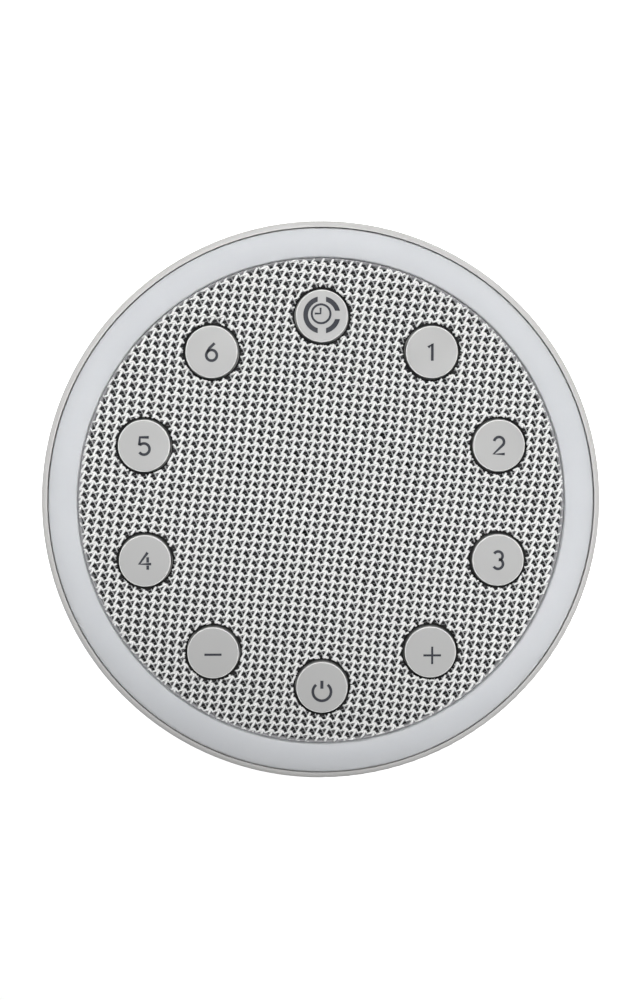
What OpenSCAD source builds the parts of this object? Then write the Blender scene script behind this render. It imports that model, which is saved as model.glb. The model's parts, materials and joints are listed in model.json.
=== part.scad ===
// Round table-top sound machine: a cup-shaped casing, a light ring in its rim, a cloth-covered
// speaker and ten push buttons on one circle. Millimetres. Z is up, the table is z = 0, the
// machine's axis is x = y = 0, the power button is towards the user at -Y and the socket at +Y.

/* [Overall] */
// Outer diameter of the casing, at its shoulder
outer_d = 110; // [108:0.5:114]
// Height from the table to the crown of the light ring
total_h = 51.8; // [51:0.1:58]

/* [Casing] */
// Thickness of the casing's wall
wall_t = 2.3; // [2:0.1:2.8]
// Thickness of the casing's rim beside the light ring
rim_t = 1.25; // [0.9:0.05:1.4]
// Radius of the rounded shoulder at the top of the casing
shoulder_r = 1.3; // [1:0.1:1.8]
// How much smaller the casing's radius is at the foot than at the shoulder
taper = 1.6; // [0.5:0.1:2]
// Radius of the rounded lower edge of the casing
lower_round_r = 6; // [5:0.5:7]
// Thickness of the inner ledge that carries the light tray
ledge_t = 2.4; // [2:0.1:3]
// How far the ledge reaches in from the casing's shoulder radius
ledge_reach = 9; // [8.5:0.1:9.5]

/* [Base] */
// Width of the casing's flat rim round the base cover
base_land = 0.5; // [0.3:0.05:1]
// Thickness of the base cover
base_t = 2.4; // [2:0.1:3]
// Gap between the base cover and the casing's lower opening
base_gap = 0.3; // [0.2:0.05:0.5]
// Distance of the base screws inside the base cover's edge
base_screw_inset = 5.1; // [4.6:0.1:6]
// Radius of the casing's screw posts above the base cover
base_post_r = 3.2; // [3:0.1:3.5]
// Height of those posts
base_post_h = 14; // [12:0.5:16]
// Thickness of the web that joins each post to the wall
post_web_t = 1.6; // [1.2:0.1:2]
// Distance between the rubber foot ring and the base screws' holes
foot_gap = 0.4; // [0.3:0.1:2]
// Width of the rubber foot ring
foot_w = 4; // [3:0.25:4.5]
// Height that the rubber stands proud of the base cover
foot_proud = 1; // [0.8:0.1:1.5]
// Depth of the groove that the rubber sits in
foot_groove = 0.8; // [0.5:0.1:1]
// Distance between the foot ring and the shallow bare recess under the base
label_gap = 10; // [6:0.5:14]
// Depth of that recess
label_depth = 0.4; // [0.2:0.1:0.6]

/* [Light ring] */
// Width of the light ring
ring_w = 5.6; // [5:0.05:6]
// Gap between the light ring and the casing's rim
seam_gap = 0.2; // [0.15:0.05:0.5]
// How much the ring's crown stands above its two edges
ring_crown = 0.3; // [0.2:0.05:0.8]
// Radius of the ring's small edge rounding
ring_edge_r = 0.3; // [0.2:0.05:0.4]
// Thickness of the ring's two legs
ring_leg_t = 1.1; // [0.8:0.1:1.2]
// Depth of the legs below the ring's edge
ring_leg_h = 4; // [3:0.25:4.5]
// Thickness of the lit roof between the legs
ring_roof_t = 1.8; // [1.4:0.1:2.2]

/* [Light tray] */
// Thickness of the tray's floor
tray_floor_t = 1.4; // [1.2:0.1:1.8]
// Thickness of the tray's lower inner wall
tray_wall_t = 1; // [0.8:0.1:1.1]
// Thickness of the step that the grille frame stands on
tray_step_t = 1; // [0.8:0.1:1.4]
// Width of that step inside the light ring's inner edge
tray_step_w = 3.75; // [3.5:0.05:3.9]
// Gap between the screw lugs of the tray and the key board above them
lug_gap = 1.2; // [1:0.1:1.8]
// Distance of the frame's screws inside the tray's inner wall
lug_inset = 3; // [2.9:0.05:3.1]
// Radius of the pegs under the tray
peg_r = 1.8; // [1.7:0.1:2]
// Gap round each peg in the ledge
peg_gap = 0.2; // [0.15:0.05:0.3]
// Distance of the pegs from the ledge's inner edge
peg_inset = 3.2; // [3:0.05:3.4]
// Radius of the tray's screw lugs
lug_r = 3.2; // [3:0.1:3.4]

/* [Lights] */
// Thickness of the ring-shaped light board
led_board_t = 1; // [0.8:0.1:1.2]
// Gap between the light board and the tray's walls
led_board_gap = 0.3; // [0.2:0.05:0.4]
// Number of lights
led_count = 20; // [12:1:24]
// Radial width of one light
led_w = 2; // [1.6:0.1:2.4]
// Length of one light round the ring
led_l = 2.8; // [2:0.1:3.5]
// Height of one light
led_h = 0.8; // [0.6:0.1:1.2]

/* [Cloth] */
// Thickness of the speaker cloth
cloth_t = 0.6; // [0.4:0.05:0.8]
// Depth of the cloth below the crown of the light ring
cloth_drop = 0.8; // [0.6:0.1:1.4]
// Gap between the cloth's rolled edge and the light ring
cloth_gap = 0.1; // [0.05:0.05:0.3]
// Radius of the cloth's rolled edge
cloth_roll_r = 0.9; // [0.85:0.05:1.2]
// Length of the cloth that is folded down round the frame
cloth_fold = 4.4; // [3:0.2:5]
// Gap between the cloth's cut edge and the frame's button hole
cloth_cut = 0.25; // [0.15:0.05:0.4]

/* [Grille frame] */
// Thickness of the frame's plate
plate_t = 1.8; // [1.5:0.1:2.2]
// Height of the frame's outer rim
frame_rim_h = 6.4; // [6:0.1:6.6]
// Thickness of the frame's outer rim
frame_rim_t = 1.5; // [1.2:0.1:1.6]
// Radius of the sound holes
sound_hole_r = 0.8; // [0.8:0.05:1.2]
// Spacing of the rings of sound holes
sound_hole_pitch = 3.6; // [3.2:0.1:3.8]
// Number of rings of sound holes round the middle one
sound_hole_rings = 5; // [3:1:5]
// Radius of the screw posts under the frame
frame_post_r = 2.4; // [2.2:0.1:2.5]
// Radius of the screw posts that hold the speaker
speaker_post_r = 2; // [1.9:0.05:2.1]
// Distance of the key board's screws inside the button circle
key_post_inset = 1.6; // [1:0.1:2]

/* [Buttons] */
// Distance of the button circle inside the frame's edge
button_inset = 10.7; // [10.55:0.05:11.2]
// Radius of a button's cap
button_r = 5.1; // [4.8:0.05:5.3]
// Gap between a cap and its hole
button_gap = 0.25; // [0.2:0.05:0.3]
// Height of the caps above the cloth
button_proud = 0.8; // [0.6:0.1:1.2]
// Travel of a button
button_travel = 0.5; // [0.3:0.05:0.6]
// Radius of a cap's rounded top edge
button_edge_r = 0.25; // [0.2:0.05:0.6]
// Thickness of a cap's roof
button_roof_t = 1.4; // [1.2:0.1:1.8]
// Thickness of a cap's skirt
button_skirt_t = 1; // [0.8:0.1:1.2]
// Width of the flange that keeps a cap in the frame
button_flange_w = 1; // [0.8:0.1:1.1]
// Thickness of that flange
button_flange_t = 0.8; // [0.6:0.1:1]
// Gap above the flange when the cap is up
button_stop_gap = 0.2; // [0.1:0.05:0.3]
// Depth of the collar under the plate round each button hole
collar_h = 0.6; // [0.4:0.1:0.8]
// Width of that collar
collar_w = 0.9; // [0.7:0.1:1]
// Gap between a flange and the guide tube round it
guide_gap = 0.3; // [0.2:0.05:0.4]
// Thickness of a guide tube
guide_t = 1; // [0.8:0.1:1.1]
// Depth of the guide tubes below the top of the switch bodies
guide_overlap = 0.8; // [0.4:0.1:1.2]
// Width of the key on each side of a flange that stops the cap from turning
key_w = 1.6; // [1.2:0.1:2]
// Gap on each side of that key in its slot
key_gap = 0.2; // [0.15:0.05:0.3]
// Radius of the stem under a cap
stem_r = 1.9; // [1.8:0.1:2.4]

/* [Switches] */
// Width of a square switch body
switch_w = 6; // [5:0.25:6.2]
// Height of a switch body
switch_h = 3.4; // [3:0.1:3.8]
// Radius of a switch's plunger
plunger_r = 1.75; // [1.5:0.05:1.8]
// Running gap round the plunger
plunger_gap = 0.1; // [0.05:0.01:0.1]
// Height of the plunger above the switch body
plunger_proud = 1.1; // [0.9:0.1:1.4]
// Depth of the plunger inside the switch body
plunger_in = 1.4; // [1:0.1:1.8]
// Gap left between a pressed cap and the switch body
press_gap = 0.3; // [0.2:0.05:0.5]
// Thickness of the key board
key_board_t = 1.2; // [1:0.1:1.6]
// Width of the key board inside the switches
key_board_edge = 2.4; // [2:0.1:2.5]
// Gap between the key board and the light tray
key_board_gap = 1; // [0.8:0.1:2]
// Gap round the frame's posts in the key board's edge
key_board_notch_gap = 0.5; // [0.3:0.1:0.8]

/* [Speaker] */
// Gap between the speaker's flange and the button guides
speaker_gap = 2.65; // [2.2:0.05:3.2]
// Thickness of the basket's sheet steel
basket_t = 1; // [0.8:0.1:1.2]
// Depth of the basket from its flange to the underside of its floor
basket_depth = 11.7; // [11.4:0.1:12]
// Distance of the speaker's screws outside its flange
ear_reach = 2.2; // [2.1:0.05:2.4]
// Radius of the flange's screw ears
ear_r = 2.5; // [2.4:0.1:2.6]
// Depth of the gasket's top below the frame's plate
speaker_drop = 2; // [1.8:0.1:2.4]
// Thickness of the gasket
gasket_t = 1; // [0.8:0.1:1.2]
// Width of the gasket
gasket_w = 2.6; // [2.2:0.1:2.8]
// Width of the flange outside the surround's half roll
seat_w = 3.1; // [3:0.05:3.5]
// Radius of the roll, to the outside of its skin
roll_r = 1.6; // [1.3:0.1:1.8]
// Thickness of the surround's skin and lips
surround_t = 0.4; // [0.3:0.05:0.5]
// Width of the surround's two lips
lip_w = 1.4; // [1.1:0.1:1.5]
// Thickness of the paper cone
cone_t = 0.5; // [0.4:0.05:0.7]
// Height of the cone from its neck to its edge
cone_h = 5.2; // [4.8:0.1:5.4]
// Travel of the cone up and down from rest
cone_travel = 1; // [0.5:0.1:1.1]
// How far the dust cap reaches outside the coil former
dust_cap_lip = 1; // [0.8:0.1:1.4]
// Height of the dust cap's dome
dust_cap_h = 2; // [1.5:0.1:2.4]
// Thickness of the dust cap
dust_cap_t = 0.3; // [0.25:0.05:0.4]
// Outer radius of the coil former
former_r = 6.6; // [6.5:0.05:6.65]
// Thickness of the coil former
former_t = 0.25; // [0.2:0.05:0.3]
// Depth of the coil former below the cone's neck
former_drop = 9.9; // [9.4:0.1:10.3]
// Thickness of the coil's winding
winding_t = 0.35; // [0.25:0.05:0.4]
// Height of the coil's winding
winding_h = 3.4; // [3:0.1:3.8]
// Width of the basket's sloping wall, down to the spider's ledge
basket_slope_w = 5; // [4.6:0.1:5.4]
// Depth of the spider below the cone's neck
spider_drop = 1.6; // [1.5:0.1:1.9]
// Height of the spider's waves above and below its middle
spider_wave_h = 1; // [0.8:0.05:1.1]
// Number of the spider's half waves
spider_waves = 4; // [2:1:6]
// Thickness of the spider's cloth
spider_t = 0.3; // [0.25:0.05:0.35]
// Thickness of the steel front plate
front_plate_t = 3; // [2.5:0.1:3.2]
// Radius of the steel front plate and of the pole's plate
steel_r = 17; // [16.5:0.25:17.5]
// Thickness of the magnet
magnet_t = 8; // [7:0.25:8.25]
// Outer radius of the magnet
magnet_r = 18; // [17.6:0.1:19]
// Inner radius of the magnet
magnet_in_r = 9; // [8:0.25:10]
// Thickness of the pole's plate
pole_plate_t = 3; // [2.5:0.1:3.2]
// Gap between the coil former and the pole
pole_gap = 0.35; // [0.3:0.05:0.5]
// Gap between the winding and the front plate
winding_gap = 0.35; // [0.3:0.05:0.5]

/* [Electronics] */
// Half width of the main board
board_half_w = 22; // [20:0.5:22.5]
// Distance of the main board's front edge from the axis
board_front = 22; // [20:0.5:24]
// Distance of the main board's rear edge from the axis
board_rear = 34; // [33:0.5:36]
// Thickness of the main board
board_t = 1.6; // [1.2:0.1:1.8]
// Height of the posts under the main board
board_post_h = 5; // [5:0.25:5.5]
// Radius of the posts under the main board
board_post_r = 2.5; // [2.3:0.1:3]
// Distance of the main board's screws from its edges
board_screw_inset = 4; // [3.5:0.25:5]
// Width of the USB-C socket's shell
usb_w = 8.94; // [8.8:0.01:9.1]
// Height of the USB-C socket's shell
usb_h = 3.26; // [3.2:0.01:3.4]
// Length of the USB-C socket's shell
usb_l = 7.35; // [7:0.05:8]
// Thickness of the USB-C socket's shell
usb_t = 0.3; // [0.25:0.01:0.35]
// Gap round the socket's shell in the casing
usb_gap = 0.35; // [0.25:0.05:0.5]
// Width of the flat recess round the socket
usb_recess_w = 14; // [12.5:0.5:16]
// Height of the flat recess round the socket
usb_recess_h = 7.4; // [7:0.1:7.8]
// Depth of the flat recess at the middle
usb_recess_depth = 0.7; // [0.5:0.1:0.9]
// Depth of the socket's mouth behind that recess
usb_mouth_inset = 0.3; // [0.2:0.05:0.6]
// Radius of the capacitors
capacitor_r = 3.15; // [2.5:0.05:3.3]
// Gap between the capacitors and the speaker above them
capacitor_gap = 1.5; // [1:0.25:4]
// Width of the main chip's body
main_chip_w = 6; // [5:0.5:7]
// Length of the main chip's body
main_chip_l = 10; // [8:0.5:12]
// Width of the two small chips' bodies
small_chip_w = 4; // [3:0.5:4.5]
// Length of the two small chips' bodies
small_chip_l = 5; // [4:0.5:6]
// Height of the chips' bodies
chip_h = 1.6; // [1:0.1:2]
// Width of a chip's leg
chip_leg_w = 0.4; // [0.3:0.05:0.5]
// Grid that the main board's parts are placed on
board_grid = 1; // [0.95:0.01:1.05]
// Width of the two lead headers
header_w = 6; // [5:0.25:7]
// Depth of the two lead headers
header_d = 4; // [3:0.25:5]
// Height of the two lead headers
header_h = 4; // [3:0.25:5]
// Depth of the two ribbon headers
ribbon_header_d = 3; // [2.5:0.1:3.2]
// Height of the two ribbon headers
ribbon_header_h = 2; // [1.6:0.1:2.2]
// Length of the ribbon headers beside the ribbon, at each end
ribbon_header_end = 1; // [0.6:0.1:1.5]
// Diameter of one lead
lead_d = 1; // [0.8:0.1:1.1]
// Width of the key ribbon
ribbon_w = 8; // [6:0.5:9]
// Thickness of the key ribbon
ribbon_t = 0.3; // [0.2:0.05:0.4]
// Radius of the ribbon's bend
ribbon_bend_r = 4; // [3:0.25:6]

/* [Screws] */
// Radius of the small screws' shanks
screw_r = 1; // [0.9:0.05:1.1]
// Radius of the small screws' heads
screw_head_r = 2.1; // [2:0.05:2.2]
// Height of the small screws' heads
screw_head_h = 1.3; // [1:0.1:1.3]
// Length of the small screws' shanks
screw_l = 4.4; // [4:0.1:5]
// Radius of the base screws' shanks
base_screw_r = 1.5; // [1.3:0.05:1.6]
// Radius of the base screws' heads
base_screw_head_r = 2.8; // [2.6:0.1:3]
// Height of the base screws' heads
base_screw_head_h = 1.4; // [1.2:0.1:1.5]
// Length of the base screws' shanks
base_screw_l = 9; // [7:0.5:10]
// Gap between a shank and its hole
screw_gap = 0.05; // [0.02:0.01:0.1]
// Gap round a shank in the piece that the screw holds down
pass_gap = 0.3; // [0.2:0.05:0.4]

/* [Hidden] */
$fn = 128;
BUTTONS = [
    "timer", "sound_1", "sound_2", "sound_3", "volume_up",
    "power", "volume_down", "sound_4", "sound_5", "sound_6"
];

eps = 0.02;
button_count = len(BUTTONS);
button_step = 360 / button_count;
screw_stations = button_count / 2;
rear_angle = 90;

// Heights of the casing and the light ring
casing_bottom_z = foot_proud;
ring_edge_z = total_h - ring_crown;
outer_r = outer_d / 2;
ring_out_r = outer_r - rim_t - seam_gap;
ring_in_r = ring_out_r - ring_w;
ring_leg_z = ring_edge_z - ring_leg_h;

// The casing's outside: an upper and a lower circle with their common tangent line
upper_c = [outer_r - shoulder_r, ring_edge_z - shoulder_r];
lower_c = [outer_r - taper - lower_round_r, casing_bottom_z + lower_round_r];
ledge_in_r = outer_r - ledge_reach;
centre_line = upper_c - lower_c;
wall_angle = atan2(centre_line.y, centre_line.x) - acos((lower_round_r - shoulder_r) / norm(centre_line));
wall_normal = [cos(wall_angle), sin(wall_angle)];
wall_top = upper_c + shoulder_r * wall_normal;
wall_low = lower_c + lower_round_r * wall_normal;

// Radius of the casing's outer wall at a height
function outer_wall_r(z) = wall_low.x
    + (wall_top.x - wall_low.x) * (z - wall_low.y) / (wall_top.y - wall_low.y);

// Heights from the cloth down to the key board
cloth_z = total_h - cloth_drop;
plate_z = cloth_z - cloth_t;
plate_under_z = plate_z - plate_t;
cap_top_z = cloth_z + button_proud;
cap_under_z = cap_top_z - button_roof_t;
collar_under_z = plate_under_z - collar_h;
flange_top_z = collar_under_z - button_stop_gap;
flange_under_z = flange_top_z - button_flange_t;
switch_top_z = flange_under_z - button_travel - press_gap;
plunger_top_z = switch_top_z + plunger_proud;
key_board_z = switch_top_z - switch_h;
key_board_under_z = key_board_z - key_board_t;

// The buttons' circle, holes and guides
frame_r = ring_in_r - cloth_gap - cloth_t;
button_circle_r = frame_r - button_inset;
hole_r = button_r + button_gap;
button_flange_r = button_r + button_flange_w;
guide_in_r = button_flange_r + guide_gap;
guide_out_r = guide_in_r + guide_t;
guide_under_z = switch_top_z - guide_overlap;

// The tray hangs from the key board's level, the frame stands on the tray's step
tray_floor_z = key_board_under_z - lug_gap;
tray_under_z = tray_floor_z - tray_floor_t;
tray_step_z = plate_z - frame_rim_h;
tray_in_r = ring_in_r - tray_step_w;
frame_post_circle_r = tray_in_r - lug_inset;
ledge_z = tray_under_z - ledge_t;
peg_circle_r = ledge_in_r + peg_inset;
led_board_z = tray_floor_z + led_board_t;
led_board_in_r = tray_in_r + tray_wall_t + led_board_gap;
led_board_out_r = ring_out_r - ring_leg_t - led_board_gap;
led_circle_r = (ring_in_r + ring_out_r) / 2;
key_board_in_r = button_circle_r - switch_w / 2 - key_board_edge;
key_board_out_r = tray_in_r - key_board_gap;
key_post_circle_r = button_circle_r - key_post_inset;

// The speaker, from its flange inwards
flange_r = button_circle_r - guide_out_r - speaker_gap;
speaker_screw_circle_r = flange_r + ear_reach;
roll_out_r = flange_r - seat_w;
cone_edge_r = roll_out_r - 2 * roll_r + surround_t;
basket_wall_in_r = roll_out_r - surround_t;
spider_r = basket_wall_in_r - basket_slope_w;
spider_ledge_w = 2;
winding_r = former_r + winding_t;
gap_r = winding_r + winding_gap;
pole_r = former_r - former_t - pole_gap;
dust_cap_r = former_r + dust_cap_lip;
cone_neck_w = 1;
cone_edge_slant = 0.2;
window_w = 18;
window_edge = 0.7;
speaker_angles = [36, 144, 216, 324];

// Heights of the speaker
gasket_z = plate_under_z - speaker_drop;
lip_z = gasket_z - gasket_t;
basket_z = lip_z - surround_t;
basket_floor_under_z = basket_z - basket_depth;
front_plate_under_z = basket_floor_under_z - front_plate_t;
magnet_under_z = front_plate_under_z - magnet_t;
pole_under_z = magnet_under_z - pole_plate_t;
cone_edge_z = lip_z - surround_t;
cone_neck_z = cone_edge_z - cone_h;
dust_seat_h = 1.3;
dust_seat_z = cone_neck_z + dust_seat_h;
former_under_z = cone_neck_z - former_drop;
spider_z = cone_neck_z - spider_drop;

// The base and the main board
base_z = casing_bottom_z + base_t;
base_r = lower_c.x - base_land - base_gap;
base_screw_circle_r = base_r - base_screw_inset;
foot_out_r = base_screw_circle_r - base_screw_head_r - pass_gap - foot_gap;
foot_in_r = foot_out_r - foot_w;
label_r = foot_in_r - label_gap;
base_wall_r = lower_c.x + sqrt(lower_round_r ^ 2 - (lower_c.y - base_z) ^ 2);
board_under_z = base_z + board_post_h;
board_z = board_under_z + board_t;
usb_z = board_z + usb_h / 2;
usb_mouth_y = outer_wall_r(usb_z) - usb_recess_depth - usb_mouth_inset;
usb_back_t = 1.2;
usb_tongue_w = 6.7;
usb_tongue_t = 0.7;
usb_tongue_inset = 1;
board_tongue_y = usb_mouth_y - 2.2;
board_tongue_half_w = 8;
capacitor_h = pole_under_z - board_z - capacitor_gap;
base_post_angles = [45, 135, 225, 315];
board_screw_x = board_half_w - board_screw_inset;
board_screw_ys = [-board_front + board_screw_inset, board_rear - board_screw_inset];

// Screw stations round the tray
frame_post_angles = [for (i = [0 : screw_stations - 1]) 360 / screw_stations * i];
key_post_angles = [for (a = frame_post_angles) a + button_step];
peg_angles = [for (a = frame_post_angles) a + 0.75 * button_step];

// Where the leads start and end
lead_angle = 306;
led_lead_r = led_board_in_r + 1.2 * lead_d;
terminal_y = -flange_r + 1.3;
terminal_z = basket_z - basket_t;
terminal_strip = [10, 2.2, 1.2];
tag = [1.6, 1.8, 0.4];
tag_x = 3;
speaker_header = [-3 * board_grid, 4 * board_grid - board_front];
led_header = [board_half_w - 10 * board_grid, 5 * board_grid - board_front];
ribbon_header_x = board_half_w - 4;
key_ribbon_x = key_board_in_r - 1;
ribbon_end_x = key_ribbon_x + ribbon_bend_r / 3;

// Places the children at an angle on a circle, facing outwards
module at(angle, r, z = 0) {
    rotate([0, 0, angle]) translate([r, 0, z]) children();
}

// A flat ring
module tube(r_out, r_in, h) {
    difference() {
        cylinder(r = r_out, h = h);
        translate([0, 0, -eps]) cylinder(r = r_in, h = h + 2 * eps);
    }
}

// Rectangle from one corner to the opposite one
module span(low, high) {
    translate(low) square(high - low);
}

// Outline with round ends, for the socket
module stadium(w, h) {
    square([w - h, h], center = true);
    for (side = [-1, 1]) translate([side * (w - h) / 2, 0]) circle(d = h);
}

// Screw with its head's seat at z = 0, the shank upwards and the head downwards
module screw(r, l, head_r, head_h) {
    cylinder(r = r, h = l);
    difference() {
        translate([0, 0, -head_h]) cylinder(r = head_r, h = head_h);
        for (turn = [0, 90]) rotate([0, 0, turn])
            translate([0, 0, -head_h]) cube([head_r * 1.2, head_r * 0.3, head_h], center = true);
    }
}
module small_screw() {
    screw(screw_r, screw_l, screw_head_r, screw_head_h);
}

// ---------------------------------------------------------------- casing and base

module casing_outside() {
    polygon([
        [0, casing_bottom_z], [lower_c.x, casing_bottom_z], lower_c, wall_low,
        wall_top, upper_c, [upper_c.x, ring_edge_z], [0, ring_edge_z]
    ]);
    translate(upper_c) circle(r = shoulder_r);
    translate(lower_c) circle(r = lower_round_r);
}

module casing_cavity() {
    inner_round_r = lower_round_r - wall_t;
    inner_low = lower_c + inner_round_r * wall_normal;
    inner_top_r = outer_wall_r(ledge_z) - wall_t;
    polygon([
        [0, casing_bottom_z + wall_t], [lower_c.x, casing_bottom_z + wall_t], lower_c, inner_low,
        [inner_top_r, ledge_z], [0, ledge_z]
    ]);
    translate(lower_c) circle(r = inner_round_r);
    span([0, casing_bottom_z - 1], [base_r + base_gap, casing_bottom_z + wall_t + eps]);
    span([0, ledge_z - eps], [ledge_in_r, tray_under_z + eps]);
    span([0, tray_under_z], [outer_r - rim_t, ring_edge_z + 1]);
}

module base_posts() {
    for (a = base_post_angles) {
        at(a, base_screw_circle_r, base_z) cylinder(r = base_post_r, h = base_post_h);
        at(a, base_screw_circle_r, base_z) translate([0, -post_web_t / 2, 0])
            cube([base_wall_r - wall_t / 2 - base_screw_circle_r, post_web_t, base_post_h]);
    }
}

module outer_housing() {
    color([0.80, 0.80, 0.79]) difference() {
        union() {
            rotate_extrude() difference() {
                casing_outside();
                casing_cavity();
            }
            base_posts();
        }
        for (a = base_post_angles) at(a, base_screw_circle_r, base_z - eps)
            cylinder(r = base_screw_r + screw_gap, h = base_screw_l);
        for (a = peg_angles) at(a, peg_circle_r, ledge_z - eps)
            cylinder(r = peg_r + peg_gap, h = ledge_t + 2 * eps);
        at(lead_angle, led_lead_r, ledge_z - eps) cylinder(r = 3 * lead_d, h = ledge_t + 2 * eps);
        translate([0, outer_wall_r(usb_z) + wall_t, usb_z]) rotate([90, 0, 0])
            linear_extrude(4 * wall_t) stadium(usb_w + 2 * usb_gap, usb_h + 2 * usb_gap);
        translate([0, outer_wall_r(usb_z) + wall_t, usb_z]) rotate([90, 0, 0])
            linear_extrude(wall_t + usb_recess_depth) stadium(usb_recess_w, usb_recess_h);
    }
}

module base_cover() {
    color([0.74, 0.74, 0.73]) difference() {
        union() {
            translate([0, 0, casing_bottom_z]) cylinder(r = base_r, h = base_t);
            for (x = [-1, 1] * board_screw_x, y = board_screw_ys)
                translate([x, y, base_z - eps]) cylinder(r = board_post_r, h = board_post_h + eps);
        }
        translate([0, 0, casing_bottom_z - eps])
            tube(foot_out_r, foot_in_r, foot_groove + eps);
        translate([0, 0, casing_bottom_z - eps]) cylinder(r = label_r, h = label_depth + eps);
        for (x = [-1, 1] * board_screw_x, y = board_screw_ys)
            translate([x, y, board_under_z - screw_l + board_t])
                cylinder(r = screw_r + screw_gap, h = screw_l);
        for (a = base_post_angles) at(a, base_screw_circle_r, casing_bottom_z - eps) {
            cylinder(r = base_screw_r + pass_gap, h = base_t + 2 * eps);
            cylinder(r = base_screw_head_r + pass_gap, h = base_screw_head_h + eps);
        }
    }
}

module foot_ring() {
    color([0.30, 0.30, 0.31]) tube(foot_out_r, foot_in_r, foot_proud + foot_groove);
}

module base_screws() {
    color([0.55, 0.56, 0.58]) for (a = base_post_angles)
        at(a, base_screw_circle_r, casing_bottom_z + base_screw_head_h)
            screw(base_screw_r, base_screw_l, base_screw_head_r, base_screw_head_h);
}

// ---------------------------------------------------------------- light ring

// Crowned top with a small arc at each edge, over two legs
module diffuser_profile() {
    half_w = ring_w / 2;
    crown_r = (half_w * half_w + ring_crown * ring_crown) / (2 * ring_crown);
    crown_c = [ring_in_r + half_w, total_h - crown_r];
    edge_x = half_w - ring_edge_r;
    edge_dz = sqrt((crown_r - ring_edge_r) * (crown_r - ring_edge_r) - edge_x * edge_x);
    edge_dir = [edge_x, edge_dz] / norm([edge_x, edge_dz]);
    far = 2 * crown_r;
    intersection() {
        translate(crown_c) circle(r = crown_r);
        translate(crown_c) polygon([
            [0, 0], far * [edge_dir.x, edge_dir.y], [0, far], far * [-edge_dir.x, edge_dir.y]
        ]);
        span([ring_in_r, ring_edge_z - ring_roof_t], [ring_out_r, total_h + 1]);
    }
    for (side = [-1, 1])
        translate(crown_c + [side * edge_x, edge_dz]) circle(r = ring_edge_r);
    span([ring_in_r, ring_edge_z - ring_roof_t], [ring_out_r, crown_c.y + edge_dz]);
    span([ring_in_r, ring_leg_z], [ring_in_r + ring_leg_t, crown_c.y + edge_dz]);
    span([ring_out_r - ring_leg_t, ring_leg_z], [ring_out_r, crown_c.y + edge_dz]);
}

module diffuser_ring() {
    color([0.85, 0.86, 0.88]) rotate_extrude() diffuser_profile();
}

module light_tray() {
    color([0.95, 0.95, 0.94]) difference() {
        union() {
            rotate_extrude() {
                span([tray_in_r, tray_under_z], [ring_out_r, tray_floor_z]);
                span([tray_in_r, tray_under_z], [tray_in_r + tray_wall_t, tray_step_z]);
                span([tray_in_r, tray_step_z - tray_step_t], [ring_in_r + ring_leg_t, tray_step_z]);
                span([ring_in_r, tray_step_z - tray_step_t], [ring_in_r + ring_leg_t, ring_leg_z]);
                span([ring_out_r - ring_leg_t, tray_under_z], [ring_out_r, ring_leg_z]);
            }
            for (a = frame_post_angles) at(a, frame_post_circle_r, tray_under_z) {
                cylinder(r = lug_r, h = tray_floor_t);
                translate([0, -lug_r, 0])
                    cube([tray_in_r + tray_wall_t / 2 - frame_post_circle_r, 2 * lug_r, tray_floor_t]);
            }
            for (a = peg_angles) at(a, peg_circle_r, ledge_z)
                cylinder(r = peg_r, h = ledge_t + tray_floor_t);
        }
        for (a = frame_post_angles) at(a, frame_post_circle_r, tray_under_z - eps)
            cylinder(r = screw_r + pass_gap, h = tray_floor_t + 2 * eps);
        for (a = peg_angles) at(a, peg_circle_r, ledge_z - eps)
            cylinder(r = screw_r + screw_gap, h = ledge_t + tray_floor_t / 2);
        at(lead_angle, led_lead_r, tray_under_z - eps)
            cylinder(r = 1.5 * lead_d, h = tray_floor_t + 2 * eps);
    }
}

module led_board() {
    color([0.92, 0.93, 0.92]) translate([0, 0, tray_floor_z])
        tube(led_board_out_r, led_board_in_r, led_board_t);
}

module led_chips() {
    color([0.96, 0.90, 0.60]) for (i = [0 : led_count - 1])
        at(360 / led_count * (i + 0.5), led_circle_r, led_board_z)
            translate([-led_w / 2, -led_l / 2, 0]) cube([led_w, led_l, led_h]);
}

// The head of a peg's screw bears on the ledge's underside as well as on the peg
module tray_screws() {
    head_r = peg_r + peg_gap + 0.5;
    color([0.55, 0.56, 0.58]) for (a = peg_angles) at(a, peg_circle_r, ledge_z)
        screw(screw_r, ledge_t + tray_floor_t / 2 - 0.2, head_r, screw_head_h);
}

// ---------------------------------------------------------------- grille frame and cloth

module speaker_cloth() {
    roll_c = [frame_r + cloth_t - cloth_roll_r, cloth_z - cloth_roll_r];
    color([0.80, 0.80, 0.80]) difference() {
        rotate_extrude() difference() {
            union() {
                span([0, plate_z], [roll_c.x, cloth_z]);
                span([frame_r, plate_z - cloth_fold], [frame_r + cloth_t, roll_c.y]);
                translate(roll_c) circle(r = cloth_roll_r);
            }
            frame_edge();
        }
        for (i = [0 : button_count - 1]) at(button_angle(i), button_circle_r, plate_z - eps)
            cylinder(r = hole_r + cloth_cut, h = cloth_t + 2 * eps);
    }
}

// The frame's outer edge, rounded so that the cloth rolls over it
module frame_edge() {
    edge_r = cloth_roll_r - cloth_t;
    span([0, plate_z - frame_rim_h], [frame_r - edge_r, plate_z]);
    span([0, plate_z - frame_rim_h], [frame_r, plate_z - edge_r]);
    translate([frame_r - edge_r, plate_z - edge_r]) circle(r = edge_r);
}

function button_angle(i) = rear_angle - button_step * i;

module button_guides() {
    for (i = [0 : button_count - 1]) at(button_angle(i), button_circle_r) {
        translate([0, 0, guide_under_z])
            tube(guide_out_r, guide_in_r, plate_under_z - guide_under_z + eps);
        translate([0, 0, collar_under_z]) cylinder(r = hole_r + collar_w, h = collar_h + eps);
    }
}

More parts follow.
